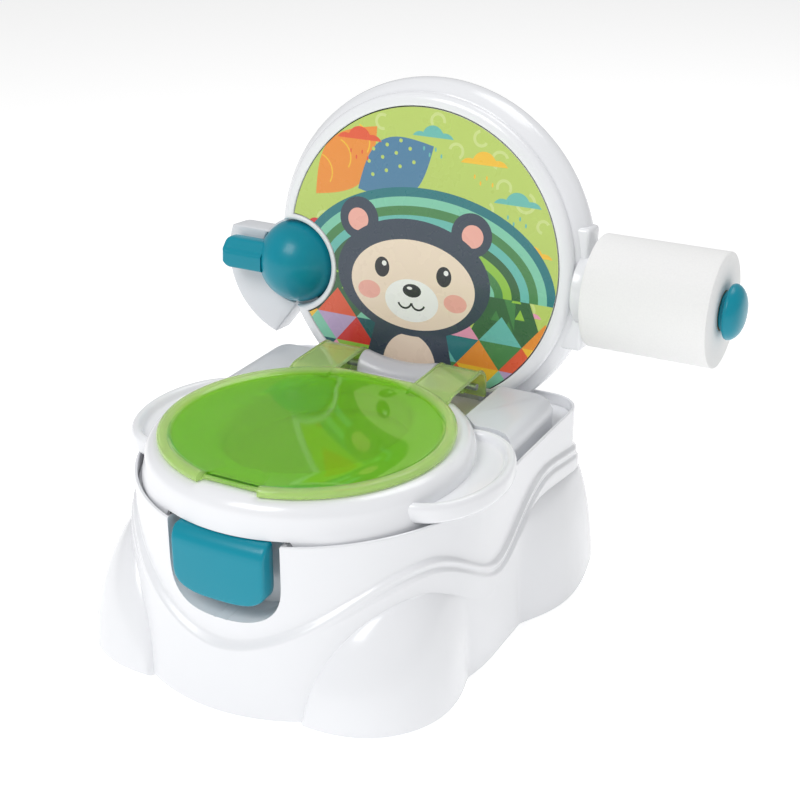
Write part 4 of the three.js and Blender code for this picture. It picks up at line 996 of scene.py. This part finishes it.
def ear_surface(columns=220):
    """The ear in polar form about the lever's pivot: its fan outline's radius at each angle, with a
    rounded front edge, a round recess for the lever and a closed back."""
    t0 = np.radians(np.linspace(161.3, 252, 60))
    fan = np.concatenate([[(60, 24)], np.stack([75 * np.cos(t0), 75 * np.sin(t0)], 1), [(5, -34), (60, -34)]])
    t = np.linspace(0, 2 * np.pi, columns, endpoint=False)
    a, e = fan, np.roll(fan, -1, 0) - fan
    c, k = np.cos(t)[:, None], np.sin(t)[:, None]
    cross = c * e[:, 1] - k * e[:, 0]
    cross = np.where(np.abs(cross) < 1e-9, 1e-9, cross)
    reach = (a[:, 0] * e[:, 1] - a[:, 1] * e[:, 0]) / cross
    along = (a[:, 0] * k - a[:, 1] * c) / cross
    hit = (along >= -1e-6) & (along <= 1 + 1e-6) & (reach > 0)
    radius = np.where(hit, reach, 0).max(1)
    radius = np.where(radius > 0, radius, 60)
    inner_r = bite_radius + 0.15
    ring = lambda r, y: np.stack([pivot_x + r * np.cos(t), 0 * t + y, pivot_z + r * np.sin(t)], -1)
    rows = [ring(0 * t, 19.4), ring(0 * t + inner_r, 19.4), ring(0 * t + inner_r, 11.4),
             ring(np.minimum(0 * t + inner_r + 0.8, radius - 2), 10.6)]
    rows += [ring(radius - i, y) for i, y in ((3.2, 10.5), (1.6, 10.8), (0.5, 11.8), (0, 13.4), (0, 34.5),
                                              (0.6, 36.0), (2.0, 36.9))]
    rows.append(ring(0 * t, 36.9))
    return leaned(np.stack(rows))


piece("panel_ear", mesh_of("panel ear", [(ear_surface(), True, False, False)], 40), soft_white_plastic,
      "base", [])


def rounded_block(x0, x1, y0, y1, z0, z1, r=3.0, side_points=6):
    """A block with rounded edges: a rounded rectangle in plan, drawn in at both ends by a quarter round."""
    ends = np.radians(np.linspace(0, 90, side_points))
    sheet = []
    for inset, y in ([(r, y0)] + [(r - r * np.sin(a), y0 + r - r * np.cos(a)) for a in ends]
                     + [(r - r * np.cos(a), y1 - r + r * np.sin(a)) for a in ends]):
        ring = []
        for u, v, a0 in ((x1 - r, z1 - r, 0), (x0 + r, z1 - r, 90), (x0 + r, z0 + r, 180),
                         (x1 - r, z0 + r, 270)):
            t = np.radians(np.linspace(a0, a0 + 90, side_points))
            ring.append(np.stack([u + (r - inset) * np.cos(t), 0 * t + y, v + (r - inset) * np.sin(t)], -1))
        sheet.append(np.concatenate(ring))
    return np.stack(sheet)


block = leaned(rounded_block(60, 148, 12, 36.9, -62, 43, 3.5))
plug_block = rounded_block(-59.7, 59.7, 127.3, 147.7, 95.6, 152, 1.5)
roll_y, roll_z = 150.0, 246.0
boss = turned_x([(0, 141), (29, 141), (30, 142), (30, 150.6), (29.4, 151.6), (28.2, 152), (13, 152),
                 (12.5, 151.4), (12.4, 149), (0, 149)], roll_y, roll_z, 72)
piece("panel_bracket", mesh_of("panel bracket", [(block, True, False, True), (plug_block, True, False, True),
                                                 (boss, True, False, False)], 40),
      white_plastic, "base", [])


# ---- what the panel holds -------------------------------------------------------------------
# Behind a screwed battery door sit a dark tray and three cells. A circuit board with one chip, a
# small speaker behind the slots, a slide switch and the lever's own switch make the flushing sound.

dark_plastic = moulded("dark plastic", srgb(40, 43, 48), srgb(30, 33, 38), gloss=0.45)
green_board = moulded("circuit board", srgb(28, 104, 58), srgb(20, 84, 48), gloss=0.35)
cell_wrap = moulded("cell wrap", srgb(196, 160, 88), srgb(180, 144, 74), gloss=0.3)
finished("battery_door", white_plastic, 0.4, 2)
finished("battery_tray", dark_plastic, 0.3, 1)
finished("circuit_board", green_board, 0.2, 1)
finished("sound_chip", dark_plastic, 0.2, 1)
finished("speaker", dark_plastic, 0.3, 1)
finished("lever_switch", dark_plastic, 0.3, 1)
finished("power_switch", teal_plastic, 0.3, 2)
for number in (1, 2, 3):
    finished(f"battery_{number}", cell_wrap, 0.5, 2)


# ---- flush lever ----------------------------------------------------------------------------
# The lever is a teal dome set in the panel's bite, with a flat bar that reaches out to the left. A
# cam and a steel clip hold it from behind, and a wire spring turns it back.


dome_radius, dome_seat = 38, 16


def dome(columns=96):
    """A half ball about the pivot with a short skirt, closed behind, with its shaft."""
    a = np.radians(np.linspace(90, 0, 22))
    rows = [(dome_radius * np.cos(k), dome_seat - dome_radius * np.sin(k)) for k in a]
    rows += [(dome_radius, 17.6), (37.4, 18.4), (36, 18.5), (5, 18.5), (5, 32.4), (4.4, 33), (0, 33)]
    t = np.linspace(0, 2 * np.pi, columns, endpoint=False)
    return leaned(np.stack([np.stack([pivot_x + r * np.cos(t), 0 * t + y, pivot_z + r * np.sin(t)], -1)
                            for r, y in rows]))


def rounded_section(corners, per_span=5):
    """A closed Catmull-Rom curve: through every corner, with the slope set by its two neighbours."""
    p = np.asarray(corners, float)
    before, after, next_ = np.roll(p, 1, 0), np.roll(p, -1, 0), np.roll(p, -2, 0)
    u = np.linspace(0, 1, per_span, endpoint=False)[None, :, None]
    b, p, a, n = before[:, None], p[:, None], after[:, None], next_[:, None]
    curve = 0.5 * (2 * p + (a - b) * u + (2 * b - 5 * p + 4 * a - n) * u ** 2
                   + (3 * p - b - 3 * a + n) * u ** 3)
    return curve.reshape(-1, 2)


def bar():
    """The bar: a section with a flat face below, a hollowed slope above it and a thin rolled top edge,
    carried left from inside the dome. At the tip its sides draw in by quarter circles, most below."""
    section = rounded_section([(-15, -5.5), (-15.1, 0), (-14.8, 4.6), (-11.9, 8.0), (-9.8, 12.4),
                               (-7.8, 15.8), (-4.6, 17), (2, 17), (6.6, 15.6), (7.5, 10), (7.5, 2),
                               (7.4, -6), (4.6, -9.8), (-3, -10), (-11, -9.9), (-14.3, -8.8)])
    tip = 9.0 * (1 - np.sin(np.linspace(0, np.pi / 2, 13)))
    left = np.concatenate([np.linspace(42, 10, 7), tip])[:, None]
    round_in = lambda r: r - np.sqrt(np.maximum(r * r - np.maximum(r - left, 0) ** 2, 0))
    low, high, pull = -10 + round_in(9.0), 17 - round_in(5.0), round_in(3.5)
    z = low + (section[:, 1] + 10) / 27 * (high - low)
    y = np.clip(section[:, 0] + 0 * left, -15.1 + pull, 7.5 - pull)
    return leaned(np.stack([pivot_x - 66 + left + 0 * y, y, pivot_z + z], -1))


piece("flush_lever_dome", mesh_of("lever dome", [(dome(), True, False, False)], 40), teal_plastic,
      "lever", ["lever_dome"])
piece("flush_lever_bar", mesh_of("lever bar", [(bar(), True, False, True)], 60), teal_plastic,
      "lever", ["lever_bar"])
finished("lever_cam", white_plastic, 0.3, 2)
finished("lever_clip", steel, 0.2, 1)
finished("lever_spring", steel, 0.05, 1, 60)


# ---- paper roll, spindle and knob -----------------------------------------------------------
# A teal spindle plugs into the boss on the panel's right. It carries a roll of white paper on a
# card core and ends in a round knob.

paper = bpy.data.materials.new("soft paper")
paper.use_nodes = True
paper_tree = paper.node_tree
paper_shader = paper_tree.nodes["Principled BSDF"]
paper_place = paper_tree.nodes.new("ShaderNodeTexCoord").outputs["Object"]
fibres = noise(paper_tree, paper_place, 700.0, 5.0, 0.65)
fibre_white = tinted(paper_tree, srgb(250, 250, 249), srgb(238, 238, 238), fibres)
paper_tree.links.new(fibre_white, paper_shader.inputs["Base Color"])
paper_tree.links.new(sums(paper_tree, "MULTIPLY_ADD", fibres, 0.1, 0.85), paper_shader.inputs["Roughness"])
paper_bump = node(paper_tree, "Bump", strength=0.25, distance=0.0003)
paper_tree.links.new(fibres, paper_bump.inputs["Height"])
paper_tree.links.new(paper_bump.outputs["Normal"], paper_shader.inputs["Normal"])
paper_shader.inputs["Sheen Weight"].default_value = 0.2

core_low, core_high = (np.array(end) * 1000 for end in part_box("core_tube"))
core_radius = (core_high[2] - core_low[2]) / 2
roll_left, roll_right, roll_radius = 156.0, 261.5, 48.0


def wound_paper(columns=144):
    """The roll: a tube whose ends show the wound layers as fine steps, and whose last sheet ends in
    a low ledge along the outside."""
    t = np.linspace(0, 2 * np.pi, columns, endpoint=False)
    bore = core_radius + 0.3
    layers = np.linspace(bore, roll_radius - 0.8, 26)
    step = 0.12 * (np.arange(26) % 2)
    rows = [(r, roll_left + s) for r, s in zip(layers, step)]
    rows += [(roll_radius - 0.25, roll_left + 0.25), (roll_radius, roll_left + 0.9)]
    rows += [(roll_radius, x) for x in np.linspace(roll_left + 4, roll_right - 4, 10)]
    rows += [(roll_radius, roll_right - 0.9), (roll_radius - 0.25, roll_right - 0.25)]
    rows += [(r, roll_right - s) for r, s in zip(layers[::-1], step[::-1])]
    grid = []
    ledge = 0.5 * ((t / (2 * np.pi) + 0.62) % 1.0)
    for r, x in rows:
        radius = r - ledge * (r > roll_radius - 1)
        grid.append(np.stack([0 * t + x, roll_y + radius * np.cos(t), roll_z + radius * np.sin(t)], -1))
    return np.stack(grid)


piece("paper_wound", mesh_of("paper roll", [(wound_paper(), True, True, False)], 30), paper, "roll",
      ["paper_roll"])

card = moulded("brown card", srgb(186, 160, 128), srgb(168, 142, 110), gloss=0.85, coat=0.0, peel=0.4)
finished("core_tube", card, 0.2, 1)
knob = turned_x([(0, 262.3), (15.8, 262.3), (16.5, 263.0), (16.5, 264.9), (17.4, 265.6), (21.0, 265.9),
                 (22.4, 266.6), (23.0, 268.0), (22.9, 269.6), (22.0, 271.8), (20.0, 274.2), (17.0, 276.4),
                 (13.0, 278.1), (8.0, 279.1), (3.0, 279.5), (0, 279.5)], roll_y, roll_z, 72)
piece("spindle_cap", mesh_of("spindle knob", [(knob, True, False, False)], 40), teal_plastic, "spindle",
      ["spindle_knob"])
finished("spindle_shaft", teal_plastic, 0.6, 2)


# ---- screws, feet and stops -----------------------------------------------------------------
# Steel screws hold the deck, the rear deck, the plug and the panel's halves. Four grey rubber pads
# stand under the paws, and four more under the seat ring take its weight on the deck.

rubber = moulded("grey rubber", srgb(140, 145, 150), srgb(122, 127, 132), gloss=0.8, peel=0.3, coat=0.0)
for number in (1, 2, 3, 4):
    finished(f"foot_pad_{number}", rubber, 0.8, 2)
    finished(f"ring_stop_{number}", rubber, 0.8, 2)
    finished(f"deck_screw_{number}", steel, 0.3, 2)
    finished(f"rear_deck_screw_{number}", steel, 0.3, 2)
    finished(f"panel_screw_{number}", steel, 0.3, 2)
for number in (1, 2):
    finished(f"plug_screw_{number}", steel, 0.3, 2)
finished("battery_door_screw", steel, 0.3, 2)


# ---- studio ---------------------------------------------------------------------------------
# A plain white floor and room, a broad soft light from above the front and weaker ones from the
# right and from behind. The camera stands to the right of the front, a little above.

floor_mesh = bpy.data.meshes.new("floor")
floor_mesh.from_pydata([(-9, -9, 0), (9, -9, 0), (9, 9, 0), (-9, 9, 0)], [], [(0, 1, 2, 3)])
floor_piece = bpy.data.objects.new("floor", floor_mesh)
bpy.context.scene.collection.objects.link(floor_piece)
floor_paint = bpy.data.materials.new("studio floor")
floor_paint.use_nodes = True
floor_shader = floor_paint.node_tree.nodes["Principled BSDF"]
floor_shader.inputs["Base Color"].default_value = (0.93, 0.93, 0.93, 1)
floor_shader.inputs["Emission Color"].default_value = (1, 1, 1, 1)
floor_shader.inputs["Emission Strength"].default_value = 0.42
floor_shader.inputs["Roughness"].default_value = 0.9
floor_mesh.materials.append(floor_paint)

world = bpy.data.worlds.new("studio")
bpy.context.scene.world = world
world.use_nodes = True
world.node_tree.nodes["Background"].inputs["Color"].default_value = (1.0, 1.0, 1.0, 1)
world.node_tree.nodes["Background"].inputs["Strength"].default_value = 0.41
bpy.context.scene.view_settings.view_transform = "Standard"

for label, spot, size, power in (("key", (-0.55, -2.0, 2.3), 1.3, 36.0), ("fill", (2.1, -0.9, 1.2), 1.4, 1.0),
                                 ("back", (0.5, 1.1, 2.5), 1.3, 18.0)):
    light = bpy.data.lights.new(label, "AREA")
    light.size = size
    light.energy = power
    lamp = bpy.data.objects.new(label, light)
    bpy.context.scene.collection.objects.link(lamp)
    lamp.location = spot
    lamp.rotation_euler = (Vector((0, 0, 0.15)) - Vector(spot)).to_track_quat("-Z", "Y").to_euler()

azimuth, elevation = np.radians(27.75), np.radians(23.98)
sight = Vector((-np.sin(azimuth) * np.cos(elevation), np.cos(azimuth) * np.cos(elevation),
                -np.sin(elevation)))
camera_data = bpy.data.cameras.new("camera")
camera_data.lens = 67.5
camera_data.sensor_width = 36.0
camera = bpy.data.objects.new("camera", camera_data)
bpy.context.scene.collection.objects.link(camera)
camera.location = Vector(((np.array([557.1, -968.3, 668.9]) + home) / 1000).tolist())
camera.rotation_euler = sight.to_track_quat("-Z", "Y").to_euler()
bpy.context.scene.camera = camera
